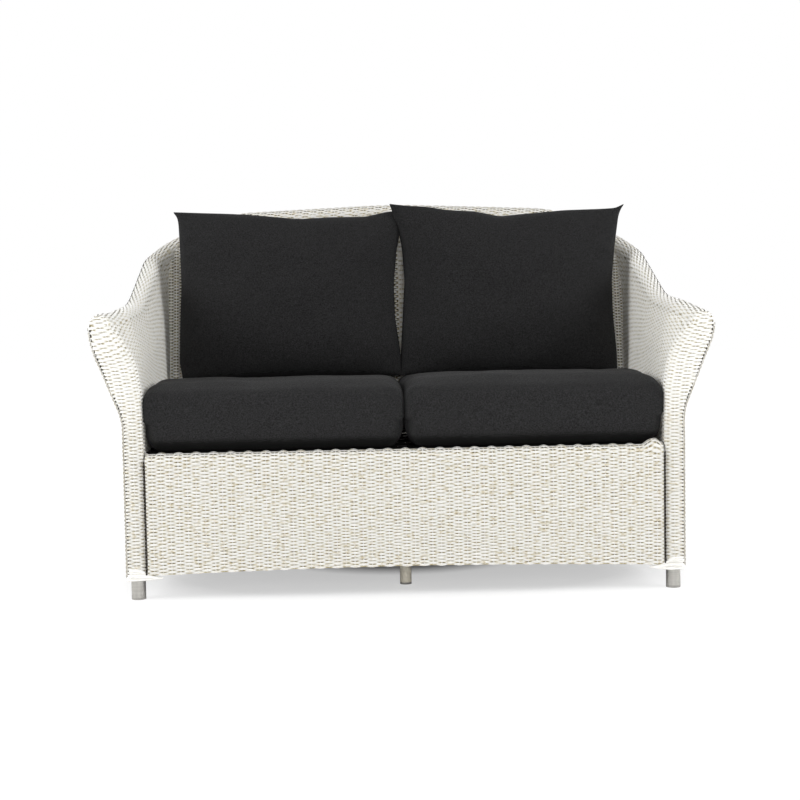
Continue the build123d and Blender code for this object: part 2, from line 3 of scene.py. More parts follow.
import bmesh
import bpy
import numpy as np
from mathutils import Matrix


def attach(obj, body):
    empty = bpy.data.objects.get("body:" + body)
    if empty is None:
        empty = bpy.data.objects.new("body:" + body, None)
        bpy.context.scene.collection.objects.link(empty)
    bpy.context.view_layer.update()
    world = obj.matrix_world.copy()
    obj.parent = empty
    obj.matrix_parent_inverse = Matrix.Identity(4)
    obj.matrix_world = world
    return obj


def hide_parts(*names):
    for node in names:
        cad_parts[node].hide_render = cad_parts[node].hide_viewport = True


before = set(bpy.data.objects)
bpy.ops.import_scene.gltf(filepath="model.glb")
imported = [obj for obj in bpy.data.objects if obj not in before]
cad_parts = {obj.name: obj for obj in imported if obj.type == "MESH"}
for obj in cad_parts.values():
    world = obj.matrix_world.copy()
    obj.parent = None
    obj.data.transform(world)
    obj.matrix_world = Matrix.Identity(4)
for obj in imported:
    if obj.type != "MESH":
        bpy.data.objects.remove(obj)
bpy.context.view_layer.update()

# Metres. The front faces -Y, +X is on the right of the front view, +Z is up.
# The woven shell is made of real strands: wefts that go over and under the
# stakes, each row a thin open ribbon laid on the surface of its sheet.


def clamp01(value):
    return np.clip(value, 0.0, 1.0)


def mix(low, high, share):
    return low + (high - low) * share


def smooth(share):
    share = clamp01(share)
    return share * share * (3 - 2 * share)


def bell(values, centre, width):
    return np.exp(-(((values - centre) / width) ** 2))


def unit(vectors):
    return vectors / np.maximum(np.linalg.norm(vectors, axis=-1, keepdims=True), 1e-12)


def stacked(*values):
    # arrays and numbers side by side, as a new last axis
    return np.stack(np.broadcast_arrays(*values), axis=-1)


def runLengths(points):
    steps = np.linalg.norm(np.diff(points, axis=0), axis=1)
    return np.concatenate([[0.0], np.cumsum(steps)])


def alongPath(points, places):
    # points of a path at given distances from its start
    lengths = runLengths(points)
    return stacked(*(np.interp(places, lengths, points[:, i]) for i in range(3)))


def roundedPath(corners, bends, steps=14):
    # a path of straight runs whose corners are true arcs of the given radii
    corners = [np.array(c, float) for c in corners]
    made = [corners[0]]
    for i in range(1, len(corners) - 1):
        before, corner, after = corners[i - 1], corners[i], corners[i + 1]
        into = unit(before - corner)
        out = unit(after - corner)
        half = math.acos(max(-1.0, min(1.0, float(np.dot(into, out))))) / 2
        if bends[i - 1] <= 0 or half > math.pi / 2 - 1e-4:
            made.append(corner)
            continue
        reach = bends[i - 1] / math.tan(half)
        middle = corner + unit(into + out) * (bends[i - 1] / math.sin(half))
        first = corner + into * reach - middle
        last = corner + out * reach - middle
        turn = math.pi - 2 * half
        for step in range(steps + 1):
            angle = turn * step / steps
            made.append(middle + (first * math.sin(turn - angle) + last * math.sin(angle)) / math.sin(turn))
    made.append(corners[-1])
    return np.array(made)


# Materials

def wire(tree, node, inputs):
    # each input is joined to another node's socket, or set to a constant
    for key, value in inputs.items():
        if isinstance(value, bpy.types.NodeSocket):
            tree.links.new(value, node.inputs[key])
        else:
            node.inputs[key].default_value = value
    return node


def addNode(tree, kind, inputs):
    return wire(tree, tree.nodes.new("ShaderNode" + kind), inputs)


def coordsNode(tree, kind="Object"):
    return addNode(tree, "TexCoord", {}).outputs[kind]


def attributeNode(tree, name):
    node = addNode(tree, "Attribute", {})
    node.attribute_name = name
    return node.outputs["Fac"]


def mathNode(tree, operation, *inputs):
    node = tree.nodes.new("ShaderNodeMath")
    node.operation = operation
    return wire(tree, node, dict(enumerate(inputs))).outputs[0]


def mixColours(tree, share, first, second, blend="MIX"):
    node = tree.nodes.new("ShaderNodeMix")
    node.data_type = "RGBA"
    node.blend_type = blend
    return wire(tree, node, {"Factor": share, 6: first, 7: second}).outputs[2]


def noiseNode(tree, source, scale, detail=2.0, rough=0.5):
    inputs = {"Vector": source, "Scale": scale, "Detail": detail, "Roughness": rough}
    return addNode(tree, "TexNoise", inputs).outputs["Fac"]


def rampNode(tree, source, stops):
    ramp = addNode(tree, "ValToRGB", {"Fac": source})
    while len(ramp.color_ramp.elements) < len(stops):
        ramp.color_ramp.elements.new(0.5)
    for element, (place, colour) in zip(ramp.color_ramp.elements, stops):
        element.position = place
        element.color = (*colour, 1)
    return ramp.outputs["Color"]


def bumpNode(tree, source, shader, strength, distance):
    bump = addNode(tree, "Bump", {"Height": source, "Strength": strength, "Distance": distance})
    wire(tree, shader, {"Normal": bump.outputs["Normal"]})


def scaledVector(tree, source, scale):
    return addNode(tree, "Mapping", {"Vector": source, "Scale": scale}).outputs["Vector"]


def makeMaterial(name, colour, roughness, build=None, specular=0.5, sheen=0.0, metallic=0.0):
    material = bpy.data.materials.new(name)
    material.use_nodes = True
    tree = material.node_tree
    shader = wire(tree, tree.nodes["Principled BSDF"], {
        "Base Color": (*colour, 1), "Roughness": roughness, "Specular IOR Level": specular,
        "Metallic": metallic, "Sheen Weight": sheen, "Sheen Roughness": 0.5,
    })
    if build:
        build(tree, shader)
    return material


# half and deep are the colours of the painted shade where a strand dips behind a stake, and the second noise
# scale makes that shade uneven
ivorySet = {
    "pale": (0.77, 0.76, 0.725), "warm": (0.71, 0.675, 0.585), "tan": (0.54, 0.47, 0.32), "rough": 0.45,
    "half": (0.60, 0.53, 0.34), "deep": (0.17, 0.14, 0.07), "flecks": (70, 3.1, 1), "shadeNoise": (48, 0.9, 1),
    "grain": (120, 30, 1),
}
# painted light: the raised arms are painted paler, as if more brightly lit; above low, further out than from,
# in front of rear
paintedLightSet = {
    "low": 0.36, "soft": 0.16, "from": 0.60, "wide": 0.03, "rear": 0.36, "colour": (0.95, 0.945, 0.915),
    "share": 0.70,
}


def buildStrand(tree, shader):
    # ivory strands with tan flecks that run along them: U is metres along a strand
    coords = coordsNode(tree, "UV")
    flecks = noiseNode(tree, scaledVector(tree, coords, ivorySet["flecks"]), 1.0, 2.0, 0.55)
    colour = rampNode(tree, flecks, [
        (0.30, ivorySet["pale"]), (0.50, ivorySet["pale"]), (0.60, ivorySet["warm"]), (0.74, ivorySet["tan"]),
    ])
    # painted light: the raised arms are mixed towards a paler colour
    amount = mathNode(tree, "MULTIPLY", attributeNode(tree, "paintedLight"), paintedLightSet["share"])
    paler = mixColours(tree, amount, colour, (*paintedLightSet["colour"], 1))
    # painted shade: where a strand dips behind a stake its colour is darkened, unevenly along the strand
    uneven = noiseNode(tree, scaledVector(tree, coords, ivorySet["shadeNoise"]), 1.0, 1.0)
    uneven = rampNode(tree, uneven, [(0.32, (0.22, 0.22, 0.22)), (0.66, (1, 1, 1))])
    depth = mathNode(tree, "MULTIPLY", attributeNode(tree, "paintedShade"), uneven)
    shade = rampNode(tree, depth, [(0.0, (1, 1, 1)), (0.5, ivorySet["half"]), (1.0, ivorySet["deep"])])
    wire(tree, shader, {"Base Color": mixColours(tree, 1.0, paler, shade, "MULTIPLY")})
    grain = noiseNode(tree, scaledVector(tree, coords, ivorySet["grain"]), 6.0, 3.0, 0.6)
    bumpNode(tree, grain, shader, 0.25, 0.0004)


def buildSmooth(tree, shader):
    coords = coordsNode(tree)
    tone = noiseNode(tree, coords, 60.0, 3.0)
    colour = rampNode(tree, tone, [(0.3, (0.84, 0.83, 0.79)), (0.7, (0.90, 0.89, 0.86))])
    wire(tree, shader, {"Base Color": colour})
    bumpNode(tree, noiseNode(tree, coords, 900.0), shader, 0.15, 0.0003)


def buildBrushed(low, high):
    def build(tree, shader):
        # fine brushing round the tube
        lines = noiseNode(tree, scaledVector(tree, coordsNode(tree), (6, 6, 1400)), 1.0, 3.0, 0.7)
        wire(tree, shader, {"Base Color": rampNode(tree, lines, [(0.3, low), (0.7, high)])})
        bumpNode(tree, lines, shader, 0.08, 0.0002)
    return build


def buildPlain(tree, shader):
    bumpNode(tree, noiseNode(tree, coordsNode(tree), 500.0), shader, 0.2, 0.0003)


# threads is their share in the tone, under the height below which the cloth is painted black as shade, and
# the last value the soft edge of that painted shade
fabricSet = {
    "dark": (0.003, 0.003, 0.003), "seat": (0.034, 0.034, 0.035), "pillow": (0.030, 0.030, 0.031),
    "webDark": (0.008, 0.008, 0.008), "web": (0.022, 0.022, 0.022), "scale": 420, "webScale": 700,
    "threads": 0.35, "mottle": 330.0, "under": 0.374, "shadeEdge": 0.014,
}


def buildCloth(dark, light, scale, depth, under=0.0):
    def build(tree, shader):
        # a plain weave of threads, from two crossed waves, with soft mottling
        coords = coordsNode(tree)
        parts = addNode(tree, "SeparateXYZ", {0: coords}).outputs
        down = mathNode(tree, "ADD", parts["Z"], parts["Y"])
        threads = addNode(tree, "CombineXYZ", {"X": parts["X"], "Y": down}).outputs[0]
        waves = []
        for direction in ("X", "Y"):
            inputs = {"Vector": threads, "Scale": scale, "Distortion": 0.6, "Detail": 1.0}
            wave = addNode(tree, "TexWave", inputs)
            wave.bands_direction = direction
            waves.append(wave.outputs["Fac"])
        both = mathNode(tree, "MULTIPLY", *waves)
        mottle = noiseNode(tree, coords, fabricSet["mottle"], 3.0, 0.75)
        total = mathNode(tree, "MULTIPLY_ADD", both, fabricSet["threads"], mottle)
        colour = rampNode(tree, total, [(0.40, dark), (0.82, light)])
        if under:
            # painted shade: below a height a little above the deck the cloth is painted black, for the shade
            # under the cushion's rounded front
            inputs = {"Value": parts["Z"], "From Min": under, "From Max": under + fabricSet["shadeEdge"]}
            level = addNode(tree, "MapRange", inputs).outputs["Result"]
            colour = mixColours(tree, level, (*fabricSet["dark"], 1), colour)
        wire(tree, shader, {"Base Color": colour})
        bumpNode(tree, both, shader, depth, 0.0005)
    return build


strandMaterial = makeMaterial("ivory_strand", ivorySet["pale"], ivorySet["rough"], buildStrand, specular=0.4)
# painted shade: the dark sheet behind the weave and under the top of the skirt
shadeSheetMaterial = makeMaterial("painted_shade_sheet", (0.040, 0.034, 0.027), 0.9, specular=0.1)
smoothMaterial = makeMaterial("smooth_strand", (0.84, 0.82, 0.77), 0.3, buildSmooth)
tubeMaterial = makeMaterial(
    "brushed_tube", (0.6, 0.58, 0.54), 0.36, buildBrushed((0.40, 0.388, 0.36), (0.54, 0.528, 0.50)),
    metallic=0.8,
)
# painted light and reflection: the centre leg stands in shade under the seat, so it gets a much paler, hardly
# metallic copy of the tube finish
legMaterial = makeMaterial(
    "painted_light_tube", (0.6, 0.58, 0.54), 0.5, buildBrushed((0.84, 0.78, 0.64), (0.94, 0.88, 0.74)), metallic=0.05,
)
glideMaterial = makeMaterial("nylon_glide", (0.30, 0.29, 0.27), 0.5, buildPlain)
seatMaterial = makeMaterial(
    "seat_cloth", (0.02, 0.02, 0.02), 0.85,
    buildCloth(fabricSet["dark"], fabricSet["seat"], fabricSet["scale"], 0.5, fabricSet["under"]),
    specular=0.15, sheen=0.04,
)
pillowMaterial = makeMaterial(
    "pillow_cloth", (0.014, 0.014, 0.014), 0.88,
    buildCloth(fabricSet["dark"], fabricSet["pillow"], fabricSet["scale"], 0.5), specular=0.12, sheen=0.03,
)
webMaterial = makeMaterial(
    "webbing", (0.012, 0.012, 0.012), 0.8,
    buildCloth(fabricSet["webDark"], fabricSet["web"], fabricSet["webScale"], 0.4), specular=0.2,
)
stitchMaterial = makeMaterial("stitched_seam", (0.030, 0.024, 0.017), 0.8, buildPlain, specular=0.2)
print("stage: materials")


# Meshes from whole arrays. A part is (points, quads, uvs), and a group is parts with their material

def addObject(name, data):
    made = bpy.data.objects.new(name, data)
    bpy.context.scene.collection.objects.link(made)
    return made


def floats(values):
    return np.ascontiguousarray(values, np.float32).ravel()


def setPoints(mesh, points):
    mesh.vertices.foreach_set("co", floats(points))
    mesh.update()


def getPoints(mesh):
    points = np.zeros(len(mesh.vertices) * 3, np.float32)
    mesh.vertices.foreach_get("co", points)
    return points.reshape(-1, 3)


def makeMesh(name, points, quads, uvs, materials):
    mesh = bpy.data.meshes.new(name)
    mesh.vertices.add(len(points))
    mesh.vertices.foreach_set("co", floats(points))
    mesh.loops.add(len(quads) * 4)
    mesh.loops.foreach_set("vertex_index", np.ascontiguousarray(quads, np.int32).ravel())
    mesh.polygons.add(len(quads))
    mesh.polygons.foreach_set("loop_start", np.arange(0, len(quads) * 4, 4, dtype=np.int32))
    mesh.update(calc_edges=True)
    mesh.polygons.foreach_set("use_smooth", np.ones(len(quads), bool))
    mesh.uv_layers.new(name="UVMap").data.foreach_set("uv", floats(uvs[quads.ravel(), :2]))
    # the third uv column is the painted shade of a strand
    if uvs.shape[1] > 2:
        # painted light on the raised arms, from where the points lie
        raised = smooth((points[:, 2] - paintedLightSet["low"]) / paintedLightSet["soft"])
        aside = smooth((np.abs(points[:, 0]) - paintedLightSet["from"]) / paintedLightSet["wide"])
        ahead = smooth((paintedLightSet["rear"] - points[:, 1]) / paintedLightSet["soft"])
        for key, values in (("paintedShade", uvs[:, 2]), ("paintedLight", raised * aside * ahead)):
            mesh.attributes.new(key, "FLOAT", "POINT").data.foreach_set("value", floats(values))
    for material in materials:
        mesh.materials.append(material)
    return addObject(name, mesh)


def joinArrays(parts):
    points, quads, uvs, start = [], [], [], 0
    for part in parts:
        points.append(part[0])
        quads.append(part[1] + start)
        uvs.append(part[2])
        start += len(part[0])
    return np.concatenate(points), np.concatenate(quads), np.concatenate(uvs)


def pieceFrom(name, groups, replaced):
    # one object of several groups
    joined = [joinArrays(parts) for parts, material in groups]
    made = makeMesh(name, *joinArrays(joined), [material for parts, material in groups])
    places = np.repeat(np.arange(len(groups)), [len(part[1]) for part in joined])
    made.data.polygons.foreach_set("material_index", places.astype(np.int32))
    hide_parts(*replaced)
    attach(made, "frame")


# the strands, and the dark sheet of painted shade behind them
def woven(strands, dark):
    return [(strands, strandMaterial), (dark, shadeSheetMaterial)]


def faceCount(parts):
    return sum(len(part[1]) for part in parts)


def gridQuads(rows, columns, keep=None):
    first = np.arange(rows - 1)[:, None] * columns + np.arange(columns - 1)[None, :]
    quads = stacked(first, first + 1, first + columns + 1, first + columns)
    return quads.reshape(-1, 4) if keep is None else quads[keep]


# pitch is between stakes; between, front and behind are a strand's width there, in rows. The strands and
# stakes carry painted shade, and a dark sheet of painted shade lies a little way behind them
weaveSet = {
    "pitch": 0.021, "rise": 0.0017, "thick": 0.0007, "samples": 4, "drift": 0.035, "between": 1.06,
    "front": 1.46, "behind": 1.0, "liftPower": 0.8, "widthPower": 1.2, "hollow": 0.55, "shadeFrom": 0.22,
    "shadeSoft": 0.70, "apart": 40, "stake": 0.0030, "stakeStep": 3, "stakeBack": 0.0004,
    "stakeFront": 0.0008, "stakeRun": 0.0047, "shift": 0.37, "stakeShade": 0.25, "shadeSheet": 0.0036,
    "shadeSheetStep": 2,
}
pitch = weaveSet["pitch"]


def weave(
    centres, across, outward, columns, keep, sides=4, fill=1.0, seed=0, sign=1, shade=1.0, relief=1.0,
):
    # centres, across and outward are rows x samples x 3, and across spans one row;
    # columns is the stake coordinate of each sample, keep the cells that are made;
    # shade, the strength of the painted shade where a strand dips behind a stake, and relief are numbers, or
    # rows x samples
    rows, count = centres.shape[:2]
    # hand woven: each pass drifts a little up or down
    drift = np.random.default_rng(seed + 50).normal(size=(rows, count)) * weaveSet["drift"]
    drift = (drift + np.roll(drift, 1, axis=1) + np.roll(drift, 2, axis=1) + np.roll(drift, 3, axis=1)) / 2
    centres = centres + across * drift[..., None]
    wave = np.cos(np.pi * (columns + np.arange(rows)[:, None]))
    # the strand bulges where it passes over a stake, and is pressed narrow between stakes
    lift = weaveSet["rise"] * relief * np.sign(wave) * np.abs(wave) ** weaveSet["liftPower"]
    over = mix(weaveSet["between"], weaveSet["front"], clamp01(wave) ** weaveSet["widthPower"])
    width = fill * mix(over, weaveSet["behind"], clamp01(-wave))
    angles = np.linspace(-1, 1, sides + 1)
    ring = []
    for angle in angles:
        bulge = weaveSet["thick"] * (math.cos(angle * math.pi / 2) - weaveSet["hollow"])
        out = outward * (lift + bulge * relief)[..., None]
        ring.append(centres + across * (angle * 0.5 * width)[..., None] + out)
    points = np.stack(ring, axis=1)
    # U is metres along the strand, from a place of its own, and V differs from row to row
    starts = np.random.default_rng(seed).random(rows) * weaveSet["apart"]
    steps = np.linalg.norm(np.diff(centres, axis=1), axis=2)
    lengths = np.concatenate([np.zeros((rows, 1)), np.cumsum(steps, axis=1)], axis=1)
    u = (lengths + starts[:, None])[:, None, :]
    v = np.arange(rows)[:, None, None] * 1.7 + angles[None, :, None] * 0.1
    # painted shade: a strand is darkened where it dips behind a stake
    paintedShade = shade * smooth((-wave - weaveSet["shadeFrom"]) / weaveSet["shadeSoft"])
    uvs = stacked(u, v, paintedShade[:, None, :]).reshape(-1, 3)
    base = np.arange(rows)[:, None, None] * ((sides + 1) * count)
    cell = base + np.arange(sides)[None, :, None] * count + np.arange(count - 1)[None, None, :]
    quads = stacked(cell, cell + 1, cell + count + 1, cell + count)
    quads = quads[np.broadcast_to(keep[:, None, :], cell.shape)][:, ::sign]
    return trimmed(points.reshape(-1, 3), quads, uvs)


def trimmed(points, quads, uvs):
    # leaves out the points that no face uses
    used = np.zeros(len(points), bool)
    used[quads.ravel()] = True
    places = np.cumsum(used) - 1
    return points[used], places[quads], uvs[used]


def frameOf(centres):
    # the span of one row and the outward direction, from the grid itself
    along = unit(np.gradient(centres, axis=1))
    span = np.gradient(centres, axis=0)
    span = span - along * np.sum(span * along, axis=-1, keepdims=True)
    outward = unit(np.cross(along, span))
    return span, outward


def everyRow(count, step):
    return np.unique(np.concatenate([np.arange(0, count, step), [count - 1]]))


def stakes(centres, outward, columns, keep, sign):
    # thin stakes, two faces wide, which the wefts pass on both sides
    parts = []
    rows = everyRow(len(centres), weaveSet["stakeStep"])
    along = unit(np.gradient(centres, axis=1))
    for i in np.flatnonzero(np.abs(columns - np.round(columns)) < 1e-6):
        kept = np.array([r for r in rows if keep[r, min(i, keep.shape[1] - 1)] or keep[r, max(i - 1, 0)]])
        if len(kept) < 2:
            continue
        middle, half, out = centres[kept, i], along[kept, i] * weaveSet["stake"] / 2, outward[kept, i]
        ring = [
            middle - half - out * weaveSet["stakeBack"], middle + out * weaveSet["stakeFront"],
            middle + half - out * weaveSet["stakeBack"],
        ]
        # the stakes carry an even painted shade
        uvs = stacked(
            np.repeat(kept * weaveSet["stakeRun"], 3) + i * weaveSet["shift"],
            np.tile([0.0, 0.2, 0.4], len(kept)) + i, weaveSet["stakeShade"],
        )
        parts.append((np.stack(ring, axis=1).reshape(-1, 3), gridQuads(len(kept), 3)[:, ::sign], uvs))
    return parts


def shadeSheet(centres, outward, keep, sign):
    # painted shade: a dark sheet behind the strands, which shows through the gaps of the weave
    rows = everyRow(len(centres), weaveSet["shadeSheetStep"])
    points = (centres - outward * weaveSet["shadeSheet"])[rows].reshape(-1, 3)
    quads = gridQuads(len(rows), centres.shape[1], keep=keep[rows[:-1]])
    return trimmed(points, quads[:, ::sign], np.zeros((len(points), 3)))


def sheetParts(centres, keep, columns, seed, sign=1, **looks):
    # the strands and stakes of a sheet, and the dark sheet of painted shade behind them
    span, outward = frameOf(centres)
    outward = outward * sign
    strands = [weave(centres, span, outward, columns, keep, seed=seed, sign=sign, **looks)]
    strands += stakes(centres, outward, columns, keep, sign)
    return strands, [shadeSheet(centres, outward, keep, sign)]


def mirrorParts(parts):
    moved = np.array([weaveSet["shift"], weaveSet["shift"], 0.0])
    return [(p * np.array([-1.0, 1.0, 1.0]), q[:, ::-1], uv + moved) for p, q, uv in parts]


tipSet = {"rise": 0.015, "reach": 0.07, "low": 0.58, "soft": 0.08}


def leftParts(parts):
    # the left arm is no exact copy of the right one: its front tip stands a little higher
    made = []
    for points, quads, uvs in mirrorParts(parts):
        share = bell(points[:, 1], frontY, tipSet["reach"])
        points[:, 2] += tipSet["rise"] * share * smooth((points[:, 2] - tipSet["low"]) / tipSet["soft"])
        made.append((points, quads, uvs))
    return made


def leftGroups(groups):
    return [(leftParts(parts), material) for parts, material in groups]


def sidePieces(name, groups, replaced):
    # a piece on the right and its mirror image on the left
    for side, turned in (("right", groups), ("left", leftGroups(groups))):
        pieceFrom(f"{name}_{side}", turned, [f"{node}_{side}" for node in replaced])


# Ridge, as in the frame
ridgeSet = {
    "points": [
        (0.7237, -0.428, 0.651), (0.697, -0.290, 0.676), (0.692, -0.060, 0.693), (0.692, 0.4157, 0.862),
        (0.4498, 0.4157, 0.947), (0.0, 0.4157, 0.966),
    ],
    "bends": [0.200, 0.600, 0.180, 0.200], "crown": 2.5, "roll": 0.0243, "count": 1600,
}
ridgeCorners = ridgeSet["points"] + [(-x, y, z) for x, y, z in reversed(ridgeSet["points"][:-1])]
ridgeBends = ridgeSet["bends"] + [ridgeSet["crown"]] + list(reversed(ridgeSet["bends"]))
ridge = roundedPath(ridgeCorners, ridgeBends)
ridge = alongPath(ridge, np.linspace(0, runLengths(ridge)[-1], ridgeSet["count"]))
roll = ridgeSet["roll"]
frontY, sideX, rearY = -0.440, 0.676, 0.366
armRidge = ridge[: len(ridge) // 2]
sideEnd = int(np.argmax(armRidge[:, 1] > 0.4))


def ridgeAtY(y):
    # ridge X and Z over the side of the seat; y no further than the rear corner
    part = armRidge[: sideEnd + 1]
    return np.interp(y, part[:, 1], part[:, 0]), np.interp(y, part[:, 1], part[:, 2])


print("stage: ridge")


# Inside and front of an arm, one sheet from the seam at the front's outer edge
armSet = {
    "bottom": 0.058, "deck": 0.355, "seamInset": 0.0030, "edge": 0.0030, "gap": 0.002, "lead": 0.012,
    "bendHeights": [0.058, 0.355, 0.436, 0.540, 0.610, 0.651],
    "bends": [0.012, 0.012, 0.022, 0.042, 0.040, 0.014],
    "flareStart": 0.436, "flareSoft": 0.022, "flareDrop": 0.026, "bandDepth": 0.050,
    "seat": 0.629, "low": 0.480, "mid": 0.55, "midFront": 0.644, "ridgeShare": 0.93,
    "rears": {1: (0.638, 0.652, 0.658), -1: (0.636, 0.644, 0.648)},
    "blendStart": -0.330, "blendEnd": 0.225, "backRake": 0.164 / 0.612, "end": 0.37, "rows": 70,
    "flat": 0.4, "flatFrom": -0.41, "flatSoft": 0.05, "frontShade": 0.75, "innerShade": 1.25,
    "rollBends": (0.008, 0.014), "leastBend": 0.004,
}
deck = armSet["deck"]
frontRun = (armRidge[1] - armRidge[0]) / (armRidge[1, 1] - armRidge[0, 1])
frontPoint = armRidge[0] + frontRun * (frontY - armRidge[0, 1])
ridgeWhole = np.concatenate([[frontPoint], armRidge])
flareTable = np.linspace(0.0, 1.0, 1001)
flareRaw = np.interp(
    flareTable, [armSet["flareStart"], frontPoint[2] - armSet["flareDrop"]], [sideX, frontPoint[0] + roll],
)
softCount = int(armSet["flareSoft"] * 1000)
flareKernel = np.ones(2 * softCount + 1) / (2 * softCount + 1)
flareSmooth = np.convolve(np.pad(flareRaw, softCount, mode="edge"), flareKernel, mode="valid")


def flareAt(z):
    return np.interp(z, flareTable, flareSmooth)


def insideX(y, share, way):
    # the inside sheet over the seat, at a share of the height from the deck to the ridge
    seatRear, lowRear, midRear = armSet["rears"][way]
    ridgeX, ridgeZ = ridgeAtY(y)
    tall = ridgeZ - deck
    rear = clamp01((y - armSet["blendStart"]) / (armSet["blendEnd"] - armSet["blendStart"]))
    lowShare = (armSet["low"] - deck) / tall
    midShare = lowShare + (1 - lowShare) * armSet["mid"]
    xs = [mix(armSet["seat"], seatRear, rear), mix(armSet["seat"], lowRear, rear),
          mix(armSet["midFront"], midRear, rear), ridgeX - roll]
    total = 0
    for offset in (-0.08, -0.04, 0.0, 0.04, 0.08):
        place = np.clip(share + offset, 0, 1)
        first = mix(xs[0], xs[1], clamp01(place / lowShare))
        second = mix(first, xs[2], clamp01((place - lowShare) / (midShare - lowShare)))
        total = total + mix(second, xs[3], clamp01((place - midShare) / (1 - midShare)))
    # the last stretch keeps to the ridge, so that it meets the roll
    return mix(total / 5, ridgeX - roll, smooth((share - armSet["ridgeShare"]) / (1 - armSet["ridgeShare"])))


def backY(z):
    return armSet["blendEnd"] + armSet["backRake"] * (z - deck)


def onRoll(line, angle, radius):
    # the line moved out to the skin of the roll, by an angle from the inside over the top
    along = unit(np.gradient(line, axis=0))
    side = unit(np.cross(along, np.array([0.0, 0.0, 1.0])))
    return line + radius * (-math.cos(angle) * side + math.sin(angle) * np.cross(side, along))


insideYs = np.linspace(frontY, armSet["end"], 400)


def cornerArc(bend, steps=10):
    angles = np.linspace(math.pi / 2, 0, steps)
    return bend * (1 - np.cos(angles)), bend * (1 - np.sin(angles))


# Each row is a path and the number of the point on it that its stakes are counted from

def lowRow(z):
    over, back = cornerArc(np.interp(z, armSet["bendHeights"], armSet["bends"]))
    corner = armSet["seat"]
    xs = np.concatenate([[flareAt(z) - armSet["seamInset"]], corner + over, [corner]])
    ys = np.concatenate([[frontY], frontY + back, [frontY + armSet["bandDepth"]]])
    return stacked(xs, ys, z), 1 + len(over) // 2


def midRow(share, way):
    z = deck + share * (frontPoint[2] - deck)
    bend = np.interp(z, armSet["bendHeights"], armSet["bends"])
    over, back = cornerArc(bend)
    ys = np.concatenate([frontY + back, insideYs[insideYs > frontY + bend + armSet["gap"]]])
    lead = mix(frontPoint[2], armRidge[0, 2], clamp01((ys - frontY) / armSet["lead"]))
    ridgeZ = np.where(ys < armRidge[0, 1], lead, ridgeAtY(ys)[1])
    zs = deck + share * (ridgeZ - deck)
    xs = insideX(ys, share, way)
    xs[: len(over)] += over
    kept = ys < backY(zs) - armSet["gap"]
    start = [[min(flareAt(z), frontPoint[0] + roll) - armSet["seamInset"], frontY, z]]
    return np.concatenate([start, stacked(xs, ys, zs)[kept]]), 1 + len(over) // 2


def rollRow(angle, end):
    # a row along the roll; its front end turns over the front of the arm
    cos, sin = math.cos(angle), math.sin(angle)
    front = 2 * roll * cos - armSet["edge"] - armSet["gap"]
    bend = min(mix(*armSet["rollBends"], max(0.0, cos)), max(front, armSet["leastBend"]))
    way = 1.0 if cos > 0 else -1.0
    line = onRoll(ridgeWhole, angle, roll)[:end]
    line = line[line[:, 1] > frontY + bend + armSet["gap"]]
    over, back = cornerArc(bend)
    corner = np.array([frontPoint[0] - roll * cos, frontPoint[2] + roll * sin])
    arc = stacked(corner[0] + way * over, frontY + back, corner[1])
    # the arc drifts onto the line where it ends
    arc += (line[0] - arc[-1]) * np.linspace(0, 1, len(arc))[:, None] ** 2 * np.array([1, 0, 1])
    if front > bend:
        start = [[frontPoint[0] + roll * cos - armSet["edge"], frontY, corner[1]]]
        return np.concatenate([start, arc, line]), 1 + len(over) // 2
    return np.concatenate([arc, line]), len(over) // 2


def rowGrid(paths, columns):
    # the rows sampled at their stakes, and the cells between them that lie on the paths
    centres = np.zeros((len(paths), len(columns), 3))
    keep = np.zeros((len(paths), len(columns) - 1), bool)
    for i, (path, reference) in enumerate(paths):
        lengths = runLengths(path)
        places = columns * pitch + lengths[reference]
        centres[i] = alongPath(path, places)
        inside = (places > 0) & (places < lengths[-1])
        keep[i] = inside[1:] | inside[:-1]
    return centres, keep


samples = weaveSet["samples"]
lowHeights = np.linspace(armSet["bottom"] + armSet["gap"], deck, armSet["rows"], endpoint=False)
armColumns = np.arange(-6 * samples, 44 * samples + 1) / samples
for side, way in (("right", 1), ("left", -1)):
    armPaths = [lowRow(z) for z in lowHeights]
    armPaths += [midRow(share, way) for share in np.linspace(0, 1, armSet["rows"])]
    armCentres, armKeep = rowGrid(armPaths, armColumns)
    # flatter inside the arm than on its front, with deeper painted shade where strands dip behind stakes
    within = smooth((armCentres[..., 1] - armSet["flatFrom"]) / armSet["flatSoft"])
    arm = sheetParts(
        armCentres, armKeep, armColumns, seed=1, sign=-1, relief=mix(1.0, armSet["flat"], within),
        shade=mix(armSet["frontShade"], armSet["innerShade"], within),
    )
    groups = woven(*arm) if way > 0 else leftGroups(woven(*arm))
    pieceFrom(f"woven_arm_inside_{side}", groups, [f"woven_front_band_{side}", f"woven_inside_arm_{side}"])
print("stage: arm insides", faceCount(arm[0] + arm[1]))

# Roll along the ridge: two side pieces from the front to the joint, and one over the back
rollSet = {"joint": 0.4959, "from": -27.4, "to": 201, "step": 10.8, "rear": 0.30, "over": 0.05, "shade": 0.75}
jointX = rollSet["joint"]
armEnd = int(np.argmax((ridgeWhole[:, 1] > rollSet["rear"]) & (ridgeWhole[:, 0] < jointX)))
rollAngles = np.radians(np.arange(rollSet["from"], rollSet["to"], rollSet["step"]))
rollColumns = np.arange(-3 * samples, 58 * samples + 1) / samples
rollCentres, rollKeep = rowGrid([rollRow(angle, armEnd) for angle in rollAngles], rollColumns)
